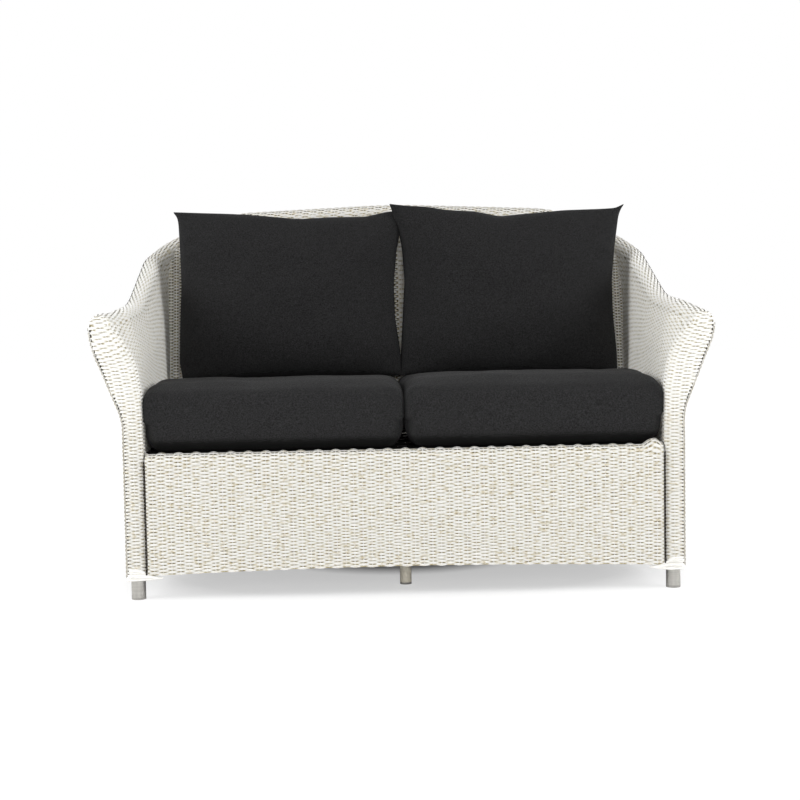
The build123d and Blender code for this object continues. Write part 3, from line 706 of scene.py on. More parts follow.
# the lowest rows are only made at the rear, where the sheet of the back leans away from the roll
rollKeep &= (rollAngles[:, None] > rollSet["over"]) | (rollCentres[:, 1:, 1] > rollSet["rear"])
sideRoll = sheetParts(rollCentres, rollKeep, rollColumns, seed=2, sign=-1, shade=rollSet["shade"])
sidePieces("woven_roll", woven(*sideRoll), ["woven_arm_roll"])
backLine = ridge[(np.abs(ridge[:, 0]) < jointX + 0.001) & (ridge[:, 1] > rollSet["rear"])]
backColumns = np.arange(0, 50 * samples + 1) / samples
backCentres, backKeep = rowGrid([(onRoll(backLine, angle, roll), 0) for angle in rollAngles], backColumns)
backRoll = sheetParts(backCentres, backKeep, backColumns, seed=3, sign=-1)
pieceFrom("woven_roll_back", woven(*backRoll), ["woven_back_roll"])
print("stage: rolls", faceCount(sideRoll[0] + backRoll[0]))

# Skirt, turned over the front rail. Its lower edge is arched, and its rows ripple at one height
skirtSet = {
    "half": 0.6275, "bottom": 0.0605, "rise": 0.012, "archHalf": 0.659, "archTall": 0.14, "top": 0.353,
    "bend": 0.0178, "rows": 71, "ripples": ((21, 1.1, 1.0), (47, 2.0, 0.6)), "wave": 0.0014,
    "rippleZ": 0.157, "rippleTall": 0.03, "scallop": 0.0013, "hump": 0.015, "humpX": 0.604, "humpWide": 0.016,
}
skirtSteps = int(skirtSet["half"] / pitch * samples)
skirtColumns = np.arange(-skirtSteps, skirtSteps + 1) / samples
skirtX = skirtColumns * pitch
flatTop = skirtSet["top"] - skirtSet["bend"]
skirtTall = flatTop - skirtSet["bottom"] + skirtSet["bend"] * math.pi / 2
skirtPlaces = np.linspace(0, skirtTall, skirtSet["rows"])[:, None] + skirtSet["bottom"]
arch = skirtSet["rise"] * (1 - (skirtX / skirtSet["archHalf"]) ** 2)
archShare = 1 - smooth((skirtPlaces - skirtSet["bottom"]) / skirtSet["archTall"])
ripple = sum(size * np.sin(skirtX * rate + start) for rate, start, size in skirtSet["ripples"])
rippleShare = bell(skirtPlaces, skirtSet["rippleZ"], skirtSet["rippleTall"])
skirtPlaces = skirtPlaces + arch * archShare + ripple * rippleShare * skirtSet["wave"]
over = clamp01((skirtPlaces - flatTop) / (skirtSet["bend"] * math.pi / 2)) * math.pi / 2
skirtZ = np.minimum(skirtPlaces, flatTop) + skirtSet["bend"] * np.sin(over)
edgeShare = smooth((skirtPlaces - flatTop + skirtSet["humpWide"]) / (2 * skirtSet["humpWide"]))
scallop = skirtSet["scallop"] * np.cos(math.pi * skirtColumns)
hump = skirtSet["hump"] * bell(skirtX, skirtSet["humpX"], skirtSet["humpWide"])
skirtZ = skirtZ + edgeShare * (scallop + hump)
skirtY = frontY + skirtSet["bend"] * (1 - np.cos(over))
skirtCentres = stacked(skirtX, skirtY, skirtZ)
skirtKeep = np.ones((len(skirtCentres), len(skirtX) - 1), bool)
skirt = sheetParts(skirtCentres, skirtKeep, skirtColumns, seed=4)
pieceFrom("woven_skirt", woven(*skirt), ["woven_front_skirt"])
print("stage: skirt", faceCount(skirt[0]))

# A black sheet behind the top of the skirt, under the front ends of the straps: painted shade, standing for
# the shade under the seat where the floor would show between the straps
underShadeSet = {
    "from": -0.404, "to": -0.270, "inner": 0.014, "outer": 0.608, "z": 0.331, "sag": 0.003, "grid": (8, 30),
}
underShadeRows, underShadeCount = underShadeSet["grid"]
underShadeX, underShadeY = np.meshgrid(
    np.linspace(underShadeSet["inner"], underShadeSet["outer"], underShadeCount),
    np.linspace(underShadeSet["from"], underShadeSet["to"], underShadeRows),
)
underShadeSag = np.sin(math.pi * (underShadeY - underShadeSet["from"]) / (underShadeSet["to"] - underShadeSet["from"]))
underShadePoints = stacked(underShadeX, underShadeY, underShadeSet["z"] - underShadeSet["sag"] * underShadeSag).reshape(-1, 3)
underShade = [(underShadePoints, gridQuads(underShadeRows, underShadeCount), np.zeros((len(underShadePoints), 3)))]
pieceFrom("skirt_under_shade", [(underShade + mirrorParts(underShade), shadeSheetMaterial)], [])

# Inside back, behind the pillows
backSet = {
    "low": 0.470, "top": 0.968, "row": 0.0068, "half": 0.672, "samples": 3, "ridgeFrom": 0.28, "level": 0.72,
    "over": 0.003, "lean": 0.035, "joint": 0.002, "tuck": 0.004, "spare": 0.012, "set": 0.004, "soft": 0.01,
    "loopStart": 0.597, "loopCount": 5, "loopPitch": 0.0155, "loopRow": 0.0043, "middleStart": -0.0335,
    "middleCount": 3, "middlePitch": 0.015, "middleRow": 0.0066, "loopTop": 0.95, "loopProud": 0.0060,
    "loopGap": 0.006, "loopFill": 0.66, "loopShade": 1.3, "loopRelief": 1.5,
}
backZ = np.arange(backSet["low"], backSet["top"], backSet["row"])
backSteps = int(backSet["half"] / pitch * backSet["samples"])
backCols = np.arange(-backSteps, backSteps + 1) / backSet["samples"]
backX = backCols * pitch
ridgeTop = ridge[ridge[:, 1] > backSet["ridgeFrom"]]
ridgeTop = ridgeTop[np.argsort(ridgeTop[:, 0])]
ridgeTopY, ridgeTopZ = (np.interp(backX, ridgeTop[:, 0], ridgeTop[:, i]) for i in (1, 2))
# from some height up the rows follow the ridge, and at the top they lean back to the roll
topShare = np.maximum(backZ - backSet["level"], 0) / (backZ[-1] - backSet["level"])
topTall = ridgeTopZ + backSet["over"] - backSet["level"]
insideZ = np.minimum(backZ, backSet["level"])[:, None] + topShare[:, None] * topTall
insideY = backY(insideZ)
leanShare = smooth((insideZ - ridgeTopZ + backSet["lean"]) / backSet["lean"])
insideY = mix(insideY, np.maximum(insideY, ridgeTopY - roll + backSet["joint"]), leanShare)
sheetY = np.minimum(backY(backZ), armSet["end"])
sheetShare = clamp01((backZ - deck) / (ridgeAtY(sheetY)[1] - deck))
limit = insideX(sheetY, sheetShare, -1)[:, None] + backSet["tuck"]
insideCentres = stacked(backX, insideY, insideZ)
insideCentres[..., 0] = np.clip(insideCentres[..., 0], -limit, limit)
insideKeep = np.abs(backX) < limit + backSet["spare"]
insideKeep = insideKeep[:, 1:] & insideKeep[:, :-1]
# the sheet stands back behind the loops beside the arms
beside = (np.abs(insideCentres[..., 0]) - backSet["loopStart"] + backSet["soft"]) / backSet["soft"]
insideCentres[..., 1] += backSet["set"] * smooth(beside)
inside = sheetParts(insideCentres, insideKeep, backCols, seed=5)


def loopParts(start, count, step, row, seed):
    # open loops on their own stakes, beside the arms and at the middle, with strong painted shade, which show
    # the dark sheet of painted shade between them
    across = np.arange(0, count * samples + 1) / samples
    levels = np.arange(backSet["low"], backSet["loopTop"], row)[:, None]
    centres = stacked(start + across * step, backY(levels) - backSet["loopProud"], levels)
    under = np.interp(centres[0, :, 0], ridgeTop[:, 0], ridgeTop[:, 2])
    return sheetParts(
        centres, levels < under[None, 1:] - backSet["loopGap"], across, seed=seed,
        fill=backSet["loopFill"], shade=backSet["loopShade"], relief=backSet["loopRelief"],
    )


loops = loopParts(*(backSet["loop" + key] for key in ("Start", "Count", "Pitch", "Row")), 9)
middle = loopParts(*(backSet["middle" + key] for key in ("Start", "Count", "Pitch", "Row")), 10)
inside = [inside[i] + middle[i] + loops[i] + mirrorParts(loops[i]) for i in range(2)]
pieceFrom("woven_back_inside", woven(*inside), ["woven_inside_back"])
print("stage: inside back", faceCount(inside[0]))


# Outside sheets: a flat side, a quarter turn round the rear corner, and the rear

def softCurve(places, values, at, width):
    return sum(np.interp(at + offset * width, places, values) for offset in (-1, -0.5, 0, 0.5, 1)) / 5


outsideSet = {
    "corner": 0.110, "row": 0.0052, "low": 0.0605, "top": 0.965, "gap": 0.003, "soft": 0.02,
    "cornerStakes": 11, "samples": 3, "bend": 0.180, "centreX": 0.512, "centreY": 0.2357, "rear": 0.41,
}
sideStakes = (outsideSet["centreY"] - frontY) / pitch
cornerEnd = sideStakes + outsideSet["cornerStakes"]


def baseReach(origin, out):
    # how far the low outline lies from a point, along a direction in plan
    faces = np.array([sideX, rearY])
    inner = faces - outsideSet["corner"]
    for axis, other in ((0, 1), (1, 0)):
        if out[axis] > 1e-9:
            reach = (faces[axis] - origin[axis]) / out[axis]
            if origin[other] + reach * out[other] <= inner[other]:
                return reach
    away = origin - inner
    nearest = float(away @ out)
    return -nearest + math.sqrt(nearest ** 2 - float(away @ away) + outsideSet["corner"] ** 2)


cornerPart = ridge[(ridge[:, 0] > outsideSet["centreX"]) & (ridge[:, 1] > outsideSet["centreY"])]
cornerAngles = np.arctan2(cornerPart[:, 1] - outsideSet["centreY"], cornerPart[:, 0] - outsideSet["centreX"])
topLine = ridge[ridge[:, 1] > outsideSet["rear"]]


def outsideStation(place):
    # the ridge point and the outward direction at a stake coordinate
    if place <= sideStakes:
        y = frontY + place * pitch
        if y < armRidge[0, 1]:
            point = mix(frontPoint, armRidge[0], (y - frontY) / (armRidge[0, 1] - frontY))
        else:
            x, z = ridgeAtY(y)
            point = np.array([float(x), y, float(z)])
        return point, np.array([1.0, 0.0])
    if place < cornerEnd:
        angle = (place - sideStakes) / outsideSet["cornerStakes"] * math.pi / 2
        point = np.array([np.interp(angle, cornerAngles, cornerPart[:, i]) for i in range(3)])
        return point, np.array([math.cos(angle), math.sin(angle)])
    x = outsideSet["centreX"] - (place - cornerEnd) * pitch
    z = np.interp(-x, -topLine[:, 0], topLine[:, 2])
    return np.array([x, topLine[len(topLine) // 2, 1], z]), np.array([0.0, 1.0])


def outsideParts(places, seed):
    heights = np.arange(outsideSet["low"], outsideSet["top"], outsideSet["row"])
    centres = np.zeros((len(heights), len(places), 3))
    keep = np.zeros((len(heights), len(places)), bool)
    bottom, flareStart = armSet["bottom"], armSet["flareStart"]
    for i, place in enumerate(places):
        point, out = outsideStation(place)
        base = baseReach(point[:2] - out * outsideSet["bend"], out) - outsideSet["bend"]
        rear = out[1] ** 2
        tall = point[2] - bottom
        flareEnd = point[2] - armSet["flareDrop"]
        rakedLow = mix(base, roll, (flareStart - bottom) / tall)
        rakedHigh = mix(base, roll, (flareEnd - bottom) / tall)
        reaches = [base, mix(base, rakedLow, rear), mix(roll, rakedHigh, rear), roll]
        reach = softCurve([bottom, flareStart, flareEnd, point[2]], reaches, heights, outsideSet["soft"])
        centres[:, i] = stacked(point[0] + out[0] * reach, point[1] + out[1] * reach, heights)
        keep[:, i] = heights < point[2] - outsideSet["gap"]
    return sheetParts(centres, keep[:, 1:] & keep[:, :-1], places, seed=seed, sides=3)


jointPlace = cornerEnd + (outsideSet["centreX"] - jointX) / pitch
outPlaces = np.arange(0, int(jointPlace * outsideSet["samples"]) + 1) / outsideSet["samples"]
outside = outsideParts(outPlaces, 6)
sidePieces("woven_outside", woven(*outside), ["woven_outside_arm"])
rearSpan = 2 * (jointX + (jointPlace - outPlaces[-1]) * pitch) / pitch
rearSteps = int(rearSpan * outsideSet["samples"])
rear = outsideParts(outPlaces[-1] + np.linspace(0, rearSpan, rearSteps + 1), 7)
pieceFrom("woven_outside_rear", woven(*rear), ["woven_outside_back"])
print("stage: outside", faceCount(outside[0]), faceCount(rear[0]))


# Tubes and cords of one run

def tubeParts(path, radius, sides=8):
    along = unit(np.gradient(path, axis=0))
    start = np.array([0.0, 0.0, 1.0]) if abs(along[0, 2]) < 0.9 else np.array([1.0, 0.0, 0.0])
    sideways = np.zeros_like(path)
    side = unit(start - along[0] * float(start @ along[0]))
    for i in range(len(path)):
        side = unit(side - along[i] * float(side @ along[i]))
        sideways[i] = side
    other = np.cross(along, sideways)
    angles = np.linspace(0, 2 * math.pi, sides, endpoint=False)
    ring = path[:, None] + radius * (
        np.cos(angles)[None, :, None] * sideways[:, None] + np.sin(angles)[None, :, None] * other[:, None]
    )
    count = len(path)
    first = np.arange(count - 1)[:, None] * sides + np.arange(sides)[None, :]
    beside = np.arange(count - 1)[:, None] * sides + (np.arange(sides)[None, :] + 1) % sides
    quads = stacked(first, beside, beside + sides, first + sides).reshape(-1, 4)
    lengths = np.repeat(runLengths(path), sides)
    uvs = stacked(lengths, np.tile(angles * 0.1, count), 0.0)
    return ring.reshape(-1, 3), quads, uvs


def beadParts(path, thick, thin, step, seed):
    # a cord that swells and narrows along its run, each stitch a little different
    perStitch = 6
    length = runLengths(path)[-1]
    path = alongPath(path, np.linspace(0, length, int(length / step * perStitch) + 1))
    places = runLengths(path) / step
    strengths = np.random.default_rng(seed).uniform(0.55, 1.0, len(path) // perStitch + 3)
    swell = np.sin(math.pi * (places % 1)) ** 2
    radius = thin + (thick - thin) * strengths[places.astype(int)] * swell
    return tubeParts(path, radius[:, None, None], sides=6)


# Seams with dark stitches: down the front edge of each outside sheet, beside the skirt, along the roll
seamSet = {
    "cord": 0.0015, "cordThin": 0.0009, "capDip": 0.006, "stitch": 0.0023, "thin": 0.0001, "step": 0.0084,
    "proud": 0.0016, "inset": 0.0030, "inner": 0.6284, "innerTop": 0.338, "low": 0.060, "rollProud": 0.0012,
    "rollAngle": math.radians(140), "rollStart": -0.425, "points": 90, "innerPoints": 60,
}
borderZ = np.linspace(seamSet["low"], frontPoint[2], seamSet["points"])
borderX = np.minimum(flareAt(borderZ), frontPoint[0] + roll) - seamSet["cord"]
borderPath = stacked(borderX, frontY + seamSet["cord"], borderZ)
capAngles = np.linspace(0, math.pi, 24)[1:]
capReach = roll - seamSet["cord"]
capPath = stacked(
    frontPoint[0] + capReach * np.cos(capAngles),
    frontY + seamSet["cord"] + seamSet["capDip"] * np.sin(capAngles),
    frontPoint[2] + capReach * np.sin(capAngles),
)
cordPath = np.concatenate([borderPath, capPath])
outerSeam = borderPath + np.array([-seamSet["inset"], -seamSet["proud"], 0.0])
innerZ = np.linspace(seamSet["low"], seamSet["innerTop"], seamSet["innerPoints"])
innerSeam = stacked(seamSet["inner"], frontY - seamSet["proud"], innerZ)
rollSeam = onRoll(ridgeWhole, seamSet["rollAngle"], roll + seamSet["rollProud"])[:armEnd]
rollSeam = rollSeam[rollSeam[:, 1] > seamSet["rollStart"]]
sidePieces("stitched_seams", [
    ([beadParts(cordPath, seamSet["cord"], seamSet["cordThin"], seamSet["step"] / 2, 40)], strandMaterial),
    ([
        beadParts(outerSeam, seamSet["stitch"], seamSet["thin"], seamSet["step"], 41),
        beadParts(innerSeam, seamSet["stitch"] * 1.25, seamSet["cordThin"], seamSet["step"], 42),
        beadParts(rollSeam, seamSet["stitch"], seamSet["thin"], seamSet["step"] * 1.5, 43),
    ], stitchMaterial),
], [])

# Corner wraps: smooth strands wound side by side round the bottom front corners
wrapSet = {
    "radius": 0.0026, "turns": 7, "step": 0.0043, "low": 0.0495, "tip": 0.590, "tipStep": 0.0058,
    "tipZ": 0.0545, "tipRise": 0.0007, "tuck": 0.004, "shoulder": 0.640, "corner": 0.6752, "depth": 0.045,
    "proud": 0.0012, "wander": 0.0008, "bends": [0.030, 0.030, 0.009],
}
for side, way in (("right", 1), ("left", -1)):
    strands = []
    wander = np.random.default_rng(60 + way).normal(size=(wrapSet["turns"], 2)) * wrapSet["wander"]
    for turn in range(wrapSet["turns"]):
        z = wrapSet["low"] + turn * wrapSet["step"]
        tip = wrapSet["tip"] + turn * wrapSet["tipStep"]
        front = frontY - wrapSet["proud"] + wander[turn, 0]
        path = roundedPath([
            (way * tip, frontY + wrapSet["tuck"], wrapSet["tipZ"] + turn * wrapSet["tipRise"]),
            (way * mix(tip, wrapSet["shoulder"], 0.45), front, mix(wrapSet["tipZ"], z, 0.55)),
            (way * wrapSet["shoulder"], front, z + wander[turn, 1]), (way * wrapSet["corner"], front, z),
            (way * wrapSet["corner"], frontY + wrapSet["depth"], z),
        ], wrapSet["bends"], steps=8)
        strands.append(tubeParts(path, wrapSet["radius"]))
    pieceFrom(f"wound_corner_{side}", [(strands, smoothMaterial)], [f"corner_wrap_{side}"])
print("stage: borders")


# Cushions

def waves(points, seed, sizes, count=10):
    # smooth seeded ripples, a sum of slanted sines
    generator = np.random.default_rng(seed)
    total = np.zeros(len(points))
    for size in sizes:
        for ripple in range(count):
            way = unit(generator.normal(size=3)) / size
            total += np.sin(points @ way * 2 * math.pi + generator.random() * 6.28) * size
    return total / (count * sum(sizes)) ** 0.5


clothSet = {"frames": 20, "quality": 4, "mass": 0.3, "stretch": 12, "bend": 0.4, "pressure": 3.0}


def swollen(made, cap, low, high):
    # a cloth run under inside pressure, its result kept; no point ends further than the cap from its start,
    # or outside the space between what it lies against
    scene = bpy.context.scene
    start = getPoints(made.data)
    moved = 0.0
    cloth = made.modifiers.new("cloth", "CLOTH")
    cloth.settings.quality = clothSet["quality"]
    cloth.settings.mass = clothSet["mass"]
    cloth.settings.tension_stiffness = clothSet["stretch"]
    cloth.settings.compression_stiffness = clothSet["stretch"]
    cloth.settings.bending_stiffness = clothSet["bend"]
    cloth.settings.use_pressure = True
    cloth.settings.uniform_pressure_force = clothSet["pressure"]
    cloth.settings.effector_weights.gravity = 0
    cloth.collision_settings.use_self_collision = False
    cloth.point_cache.frame_start, cloth.point_cache.frame_end = 1, clothSet["frames"]
    for step in range(1, clothSet["frames"] + 1):
        scene.frame_set(step)
    moved = getPoints(made.evaluated_get(bpy.context.evaluated_depsgraph_get()).data) - start
    made.modifiers.remove(cloth)
    scene.frame_set(1)
    far = np.linalg.norm(moved, axis=1, keepdims=True)
    moved *= cap * np.tanh(far / cap) / np.maximum(far, 1e-9)
    print("cloth", made.name, "largest move", round(float(far.max()), 4))
    setPoints(made.data, np.clip(start + moved, low, high))
    divide = made.modifiers.new("divide", "SUBSURF")
    divide.levels = divide.render_levels = 1


def finished(made, node):
    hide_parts(node)
    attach(made, f"{node}_body")


seatSet = {
    "width": 0.640, "depth": 0.652, "box": 0.148, "wall": 0.6286, "low": 0.3525, "front": -0.4345, "cuts": 46,
    "topBends": (0.030, 0.024, 0.034), "lowBends": (0.040, 0.075, 0.062), "pull": 0.001, "middle": 0.0006,
    "belly": 0.004, "topWaves": (0.22, 0.11), "frontWaves": (0.16, 0.08), "topRough": 0.005,
    "frontRough": 0.006, "bulge": 0.0045, "bulgeMore": 0.002, "bulgeFrom": -0.37, "bulgeSoft": 0.04,
    "cap": 0.004, "fill": 0.8,
}


def seatForm(name, way, seed, crown, flat):
    # a box of even squares, rounded, crowned and pulled in at its sides
    grid = bmesh.new()
    bmesh.ops.create_cube(grid, size=2)
    bmesh.ops.subdivide_edges(grid, edges=grid.edges[:], cuts=seatSet["cuts"], use_grid_fill=True)
    mesh = bpy.data.meshes.new(name)
    grid.to_mesh(mesh)
    grid.free()
    made = addObject(name, mesh)
    cube = getPoints(mesh).astype(float)
    half = np.array([seatSet["width"] / 2, seatSet["depth"] / 2, seatSet["box"] / 2])
    points = np.sign(cube) * np.abs(cube) ** 0.9 * half
    share = points / half
    bends = np.where(points[:, 2:] > 0, seatSet["topBends"], seatSet["lowBends"])
    nearest = np.clip(points, bends - half, half - bends)
    away = (points - nearest) / bends
    points = nearest + unit(away) * bends * (np.linalg.norm(away, axis=1, keepdims=True) > 1e-9)
    swell = (1 - flat * share[:, 0] ** 4) * smooth((share[:, 1] + 1.02) / 0.30)
    swell = swell * smooth((0.62 - share[:, 1]) / 0.95)
    points[:, 2] += np.where(share[:, 2] > 0, crown * swell * smooth(share[:, 2] * 1.4), 0)
    belly = 1 - np.abs(share[:, 2]) ** 2
    inFront = np.where(share[:, 1] < 0, 1, 0)
    points[:, 1] -= seatSet["belly"] * inFront * belly * (1 - share[:, 0] ** 4) * smooth(-share[:, 1])
    points[:, 0] *= 1 - seatSet["pull"] / half[0] * (1 - share[:, 1] ** 2)
    points[:, 2] += waves(points, seed, seatSet["topWaves"]) * seatSet["topRough"] * swell * (share[:, 2] > 0)
    points[:, 1] += waves(points, seed + 1, seatSet["frontWaves"]) * seatSet["frontRough"] * belly * inFront
    across = (seatSet["middle"] + seatSet["wall"] + seatSet["bulge"]) / 2
    points += np.array([way * across, seatSet["front"] + half[1], seatSet["low"] + half[2]])
    setPoints(mesh, points)
    mesh.polygons.foreach_set("use_smooth", np.ones(len(mesh.polygons), bool))
    # it bulges a little round the corner of the arm in front
    bulge = seatSet["bulge"] + seatSet["bulgeMore"] * way
    reach = seatSet["wall"] + bulge * smooth((seatSet["bulgeFrom"] - points[:, 1]) / seatSet["bulgeSoft"])
    low, high = np.full(points.shape, -1.0), np.full(points.shape, 1.0)
    low[:, 0] = seatSet["middle"] if way > 0 else -reach
    high[:, 0] = reach if way > 0 else -seatSet["middle"]
    low[:, 2] = seatSet["low"]
    swollen(made, seatSet["cap"], low, high)
    mesh.materials.append(seatMaterial)
    return made


# the right one is crowned higher and more in its middle
for side, way, seed, crown, flat in (("right", 1, 21, 0.023, 0.30), ("left", -1, 33, 0.017, 0.06)):
    cushion = seatForm(f"cushion_{side}", way, seed, crown, flat)
    finished(cushion, f"seat_cushion_{side}")

pillowSet = {
    "half": 0.318, "height": 0.488, "thick": 0.172, "low": 0.5005, "middle": 0.321, "aside": 0.0185,
    "lowDip": 0.004, "seam": 0.004, "count": 81, "soft": 0.03, "rear": 0.0956, "creases": (0.24, 0.12),
    "crease": 0.009, "fold": 0.0035, "cap": 0.005, "fill": 0.7,
    "levels": (-1.0, -0.8, -0.3, 0.1, 0.5, 0.85, 0.94, 1.0),
}
# top edge: places across from the left seam to the right one and how far it sags there;
# side seams: how far they lie in from the widest, from the bottom up; ear: shift of the upper outer corner
pillowEdges = {
    "left": {
        "places": (-1.0, -0.9, -0.77, -0.32, 0.11, 0.40, 0.69, 0.88, 0.96, 1.0),
        "sags": (0.0, 0.0015, 0.004, 0.013, 0.028, 0.024, 0.023, 0.007, 0.004, 0.002),
        "leftIn": (0.022, 0.013, 0.014, 0.017, 0.013, 0.008, 0.004, -0.009),
        "rightIn": (0.002, 0.003, 0.018, 0.019, 0.009, -0.008, -0.006, -0.002),
        "ear": (0.0, 0.012, 0.0), "seed": 8,
    },
    "right": {
        "places": (-1.0, -0.9, -0.74, -0.59, -0.33, -0.12, 0.10, 0.45, 0.79, 0.93, 1.0),
        "sags": (-0.005, -0.003, -0.002, 0.008, 0.014, 0.030, 0.024, 0.014, 0.011, 0.008, -0.005),
        "leftIn": (-0.014, -0.0115, -0.0025, 0.0045, 0.000, -0.008, -0.006, -0.004),
        "rightIn": (0.040, 0.038, 0.043, 0.041, 0.028, 0.013, 0.005, -0.007),
        "ear": (-0.030, -0.030, 0.0), "seed": 5,
    },
}


def pillowForm(name, way, edges):
    # two faces on one grid, joined round the rim
    count, half, soft = pillowSet["count"], pillowSet["half"], pillowSet["soft"]
    line = np.linspace(-1, 1, count)
    line = np.sign(line) * (1 - (1 - np.abs(line)) ** 1.2)
    u, v = np.meshgrid(line, line)
    fill = np.clip((1 - np.abs(u) ** 2.4) * (1 - np.abs(v) ** 2.4), 0, 1) ** 0.5
    leftEdge = -half + softCurve(pillowSet["levels"], edges["leftIn"], v, soft)
    rightEdge = half - softCurve(pillowSet["levels"], edges["rightIn"], v, soft)
    x = mix(leftEdge, rightEdge, (u + 1) / 2)
    high = pillowSet["height"] - softCurve(edges["places"], edges["sags"], u, soft)
    z = mix(pillowSet["lowDip"] * (1 - u ** 2), high, (v + 1) / 2)
    ear = (clamp01(-u if way > 0 else u) * clamp01(v)) ** 5
    inside = clamp01((1 - np.maximum(np.abs(u), np.abs(v))) * 40)
    deep = pillowSet["seam"] / 2 * inside + pillowSet["thick"] / 2 * fill
    halves = [
        stacked(x + edges["ear"][0] * ear, y + edges["ear"][1] * ear, z + edges["ear"][2] * ear)
        for y in (-deep, deep)
    ]
    points = np.concatenate([h.reshape(-1, 3) for h in halves])
    turn = np.arange(count)
    edge = np.concatenate([
        turn, turn[1:] * count + count - 1, (count - 1) * count + turn[::-1][1:], turn[::-1][1:] * count
    ])[:-1]
    after = np.roll(edge, -1)
    size = count * count
    face = gridQuads(count, count)
    rim = stacked(edge, edge + size, after + size, after)
    quads = np.concatenate([face, face[:, ::-1] + size, rim])
    facing = np.concatenate([-np.ones(size), np.ones(size)])
    crease = waves(points, edges["seed"], pillowSet["creases"]) * pillowSet["crease"]
    # short folds that run in from the upper outer corner and the side seam
    outer, up = way * np.tile(u.ravel(), 2), np.tile(v.ravel(), 2)
    folds = np.sin(up * 26 + outer * 9 + 1.0) * np.exp(
        -(((outer - 0.93) / 0.10) ** 2) - ((up - 0.55) / 0.30) ** 2
    )
    crease = crease + folds * pillowSet["fold"]
    points[:, 1] += facing * crease * np.minimum(np.tile(fill.ravel(), 2) * 2, 1)
    # it leans on the back
    lean = math.atan(armSet["backRake"])
    cos, sin = math.cos(lean), math.sin(lean)
    y, z = points[:, 1].copy(), points[:, 2].copy()
    points[:, 1] = y * cos + z * sin
    points[:, 2] = z * cos - y * sin
    base = backY(pillowSet["low"]) - pillowSet["rear"] / cos
    points += np.array([way * pillowSet["middle"] + pillowSet["aside"], base, pillowSet["low"]])
    made = makeMesh(name, points, quads, np.zeros((len(points), 2)), [pillowMaterial])
    swollen(made, pillowSet["cap"], [-1, -1, pillowSet["low"]], [1, 1, 1.1])
    return made


for side, way in (("right", 1), ("left", -1)):
    pillow = pillowForm(f"pillow_{side}", way, pillowEdges[side])
    finished(pillow, f"back_pillow_{side}")
print("stage: cushions")

# Carried-over frame nodes
for name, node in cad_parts.items():
    if node.hide_render:
        continue
    material = tubeMaterial
    if name.startswith("glide"):
        material = glideMaterial
    elif name.startswith("deck_straps"):
        material = webMaterial
    # the centre leg gets the finish with painted light
    elif name == "centre_leg":
        material = legMaterial
    node.data.materials.clear()
    node.data.materials.append(material)


# Camera, floor and light

def placed(name, data, right, up, back, place):
    rows = [[right[i], up[i], back[i], place[i]] for i in range(3)]
    made = addObject(name, data)
    made.matrix_world = Matrix(rows + [[0, 0, 0, 1]])
    return made


def cameraRay(tree):
    return addNode(tree, "LightPath", {}).outputs["Is Camera Ray"]


cameraSet = {
    "place": (-0.110, -4.077, 0.721), "yaw": 1.565, "pitch": -3.9, "roll": -1.01, "focal": 1518.5,
    "pixels": 800, "sensor": 36, "far": 100,
}
yaw, nod, tilt = (math.radians(cameraSet[key]) for key in ("yaw", "pitch", "roll"))
forward = np.array([math.sin(yaw) * math.cos(nod), math.cos(yaw) * math.cos(nod), math.sin(nod)])
rightWay = unit(np.cross(forward, [0, 0, 1]))
upWay = np.cross(rightWay, forward)
camera = placed(
    "camera", bpy.data.cameras.new("camera"), rightWay * math.cos(tilt) + upWay * math.sin(tilt),
    upWay * math.cos(tilt) - rightWay * math.sin(tilt), -forward, cameraSet["place"],
)
camera.data.sensor_width = cameraSet["sensor"]
camera.data.lens = cameraSet["focal"] / cameraSet["pixels"] * cameraSet["sensor"]
camera.data.clip_end = cameraSet["far"]
bpy.context.scene.camera = camera

# wash: how far the floor is washed out at growing distances from under the object
floorSet = {
    "corners": [(-12, -6, 0), (12, -6, 0), (12, 14, 0), (-12, 14, 0)], "tone": (0.97, 0.97, 0.97),
    "rough": 0.8, "glow": 1.09, "centre": (0, -0.15, 0), "scale": (0.9, 1, 1),
    "wash": ((0.22, 0.08), (0.33, 0.46), (0.62, 0.50), (1.05, 1.0)),
}


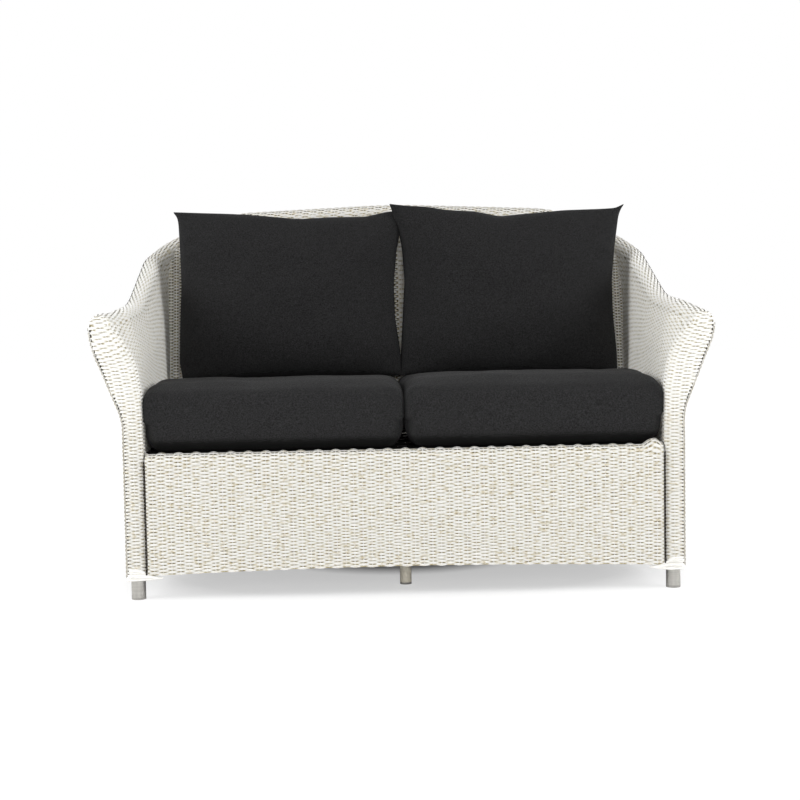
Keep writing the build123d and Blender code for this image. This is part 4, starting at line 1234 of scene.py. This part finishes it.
def buildFloor(tree, shader):
    # the camera sees the floor washed out towards white, with the object's shadow left on it
    place = addNode(tree, "Mapping", {
        "Vector": coordsNode(tree), "Location": floorSet["centre"], "Scale": floorSet["scale"],
    })
    away = tree.nodes.new("ShaderNodeVectorMath")
    away.operation = "LENGTH"
    wire(tree, away, {0: place.outputs["Vector"]})
    washed = rampNode(tree, away.outputs["Value"], [(far, (much,) * 3) for far, much in floorSet["wash"]])
    glow = addNode(tree, "Emission", {"Strength": floorSet["glow"]})
    both = addNode(tree, "MixShader", {
        0: mathNode(tree, "MULTIPLY", cameraRay(tree), washed), 1: shader.outputs[0], 2: glow.outputs[0],
    })
    wire(tree, tree.nodes["Material Output"], {"Surface": both.outputs[0]})


floorMesh = bpy.data.meshes.new("floor")
floorMesh.from_pydata(floorSet["corners"], [], [(0, 1, 2, 3)])
floorMesh.materials.append(makeMaterial("floor", floorSet["tone"], floorSet["rough"], buildFloor))
floor = addObject("floor", floorMesh)

# white for the camera, dimmer as light
worldSet = {"white": (1, 1, 1, 1), "fill": 0.32, "seen": 1.0}
world = bpy.data.worlds.new("world")
bpy.context.scene.world = world
world.use_nodes = True
sky = world.node_tree
fill = wire(sky, sky.nodes["Background"], {"Color": worldSet["white"], "Strength": worldSet["fill"]})
seen = addNode(sky, "Background", {"Color": worldSet["white"], "Strength": worldSet["seen"]})
switch = addNode(sky, "MixShader", {0: cameraRay(sky), 1: fill.outputs[0], 2: seen.outputs[0]})
wire(sky, sky.nodes["World Output"], {"Surface": switch.outputs[0]})

lampSet = [
    {"name": "front", "place": (0.2, -5.3, 1.5), "aim": (0, 0, 0.5), "size": 1.4, "power": 72},
    {"name": "key", "place": (-3.6, -1.4, 2.0), "aim": (0, 0, 0.5), "size": 2.0, "power": 108},
    {"name": "side", "place": (3.6, -1.4, 2.0), "aim": (0, 0, 0.5), "size": 2.0, "power": 102},
    {"name": "rear", "place": (0, 4.6, 2.8), "aim": (0, 0.4, 0.4), "size": 3.0, "power": 70},
    {"name": "top", "place": (0, 0.3, 3.6), "aim": (0, 0, 0), "size": 2.8, "power": 14},
]
for lamp in lampSet:
    data = bpy.data.lights.new(lamp["name"], "AREA")
    data.size = lamp["size"]
    data.energy = lamp["power"]
    place = np.array(lamp["place"])
    back = unit(place - np.array(lamp["aim"]))
    across = unit(np.cross([0, 0, 1], back)) if abs(back[2]) < 0.99 else np.array([1.0, 0, 0])
    placed(lamp["name"], data, across, np.cross(back, across), back, place)
bpy.context.scene.view_settings.view_transform = "Standard"
print("stage: light")
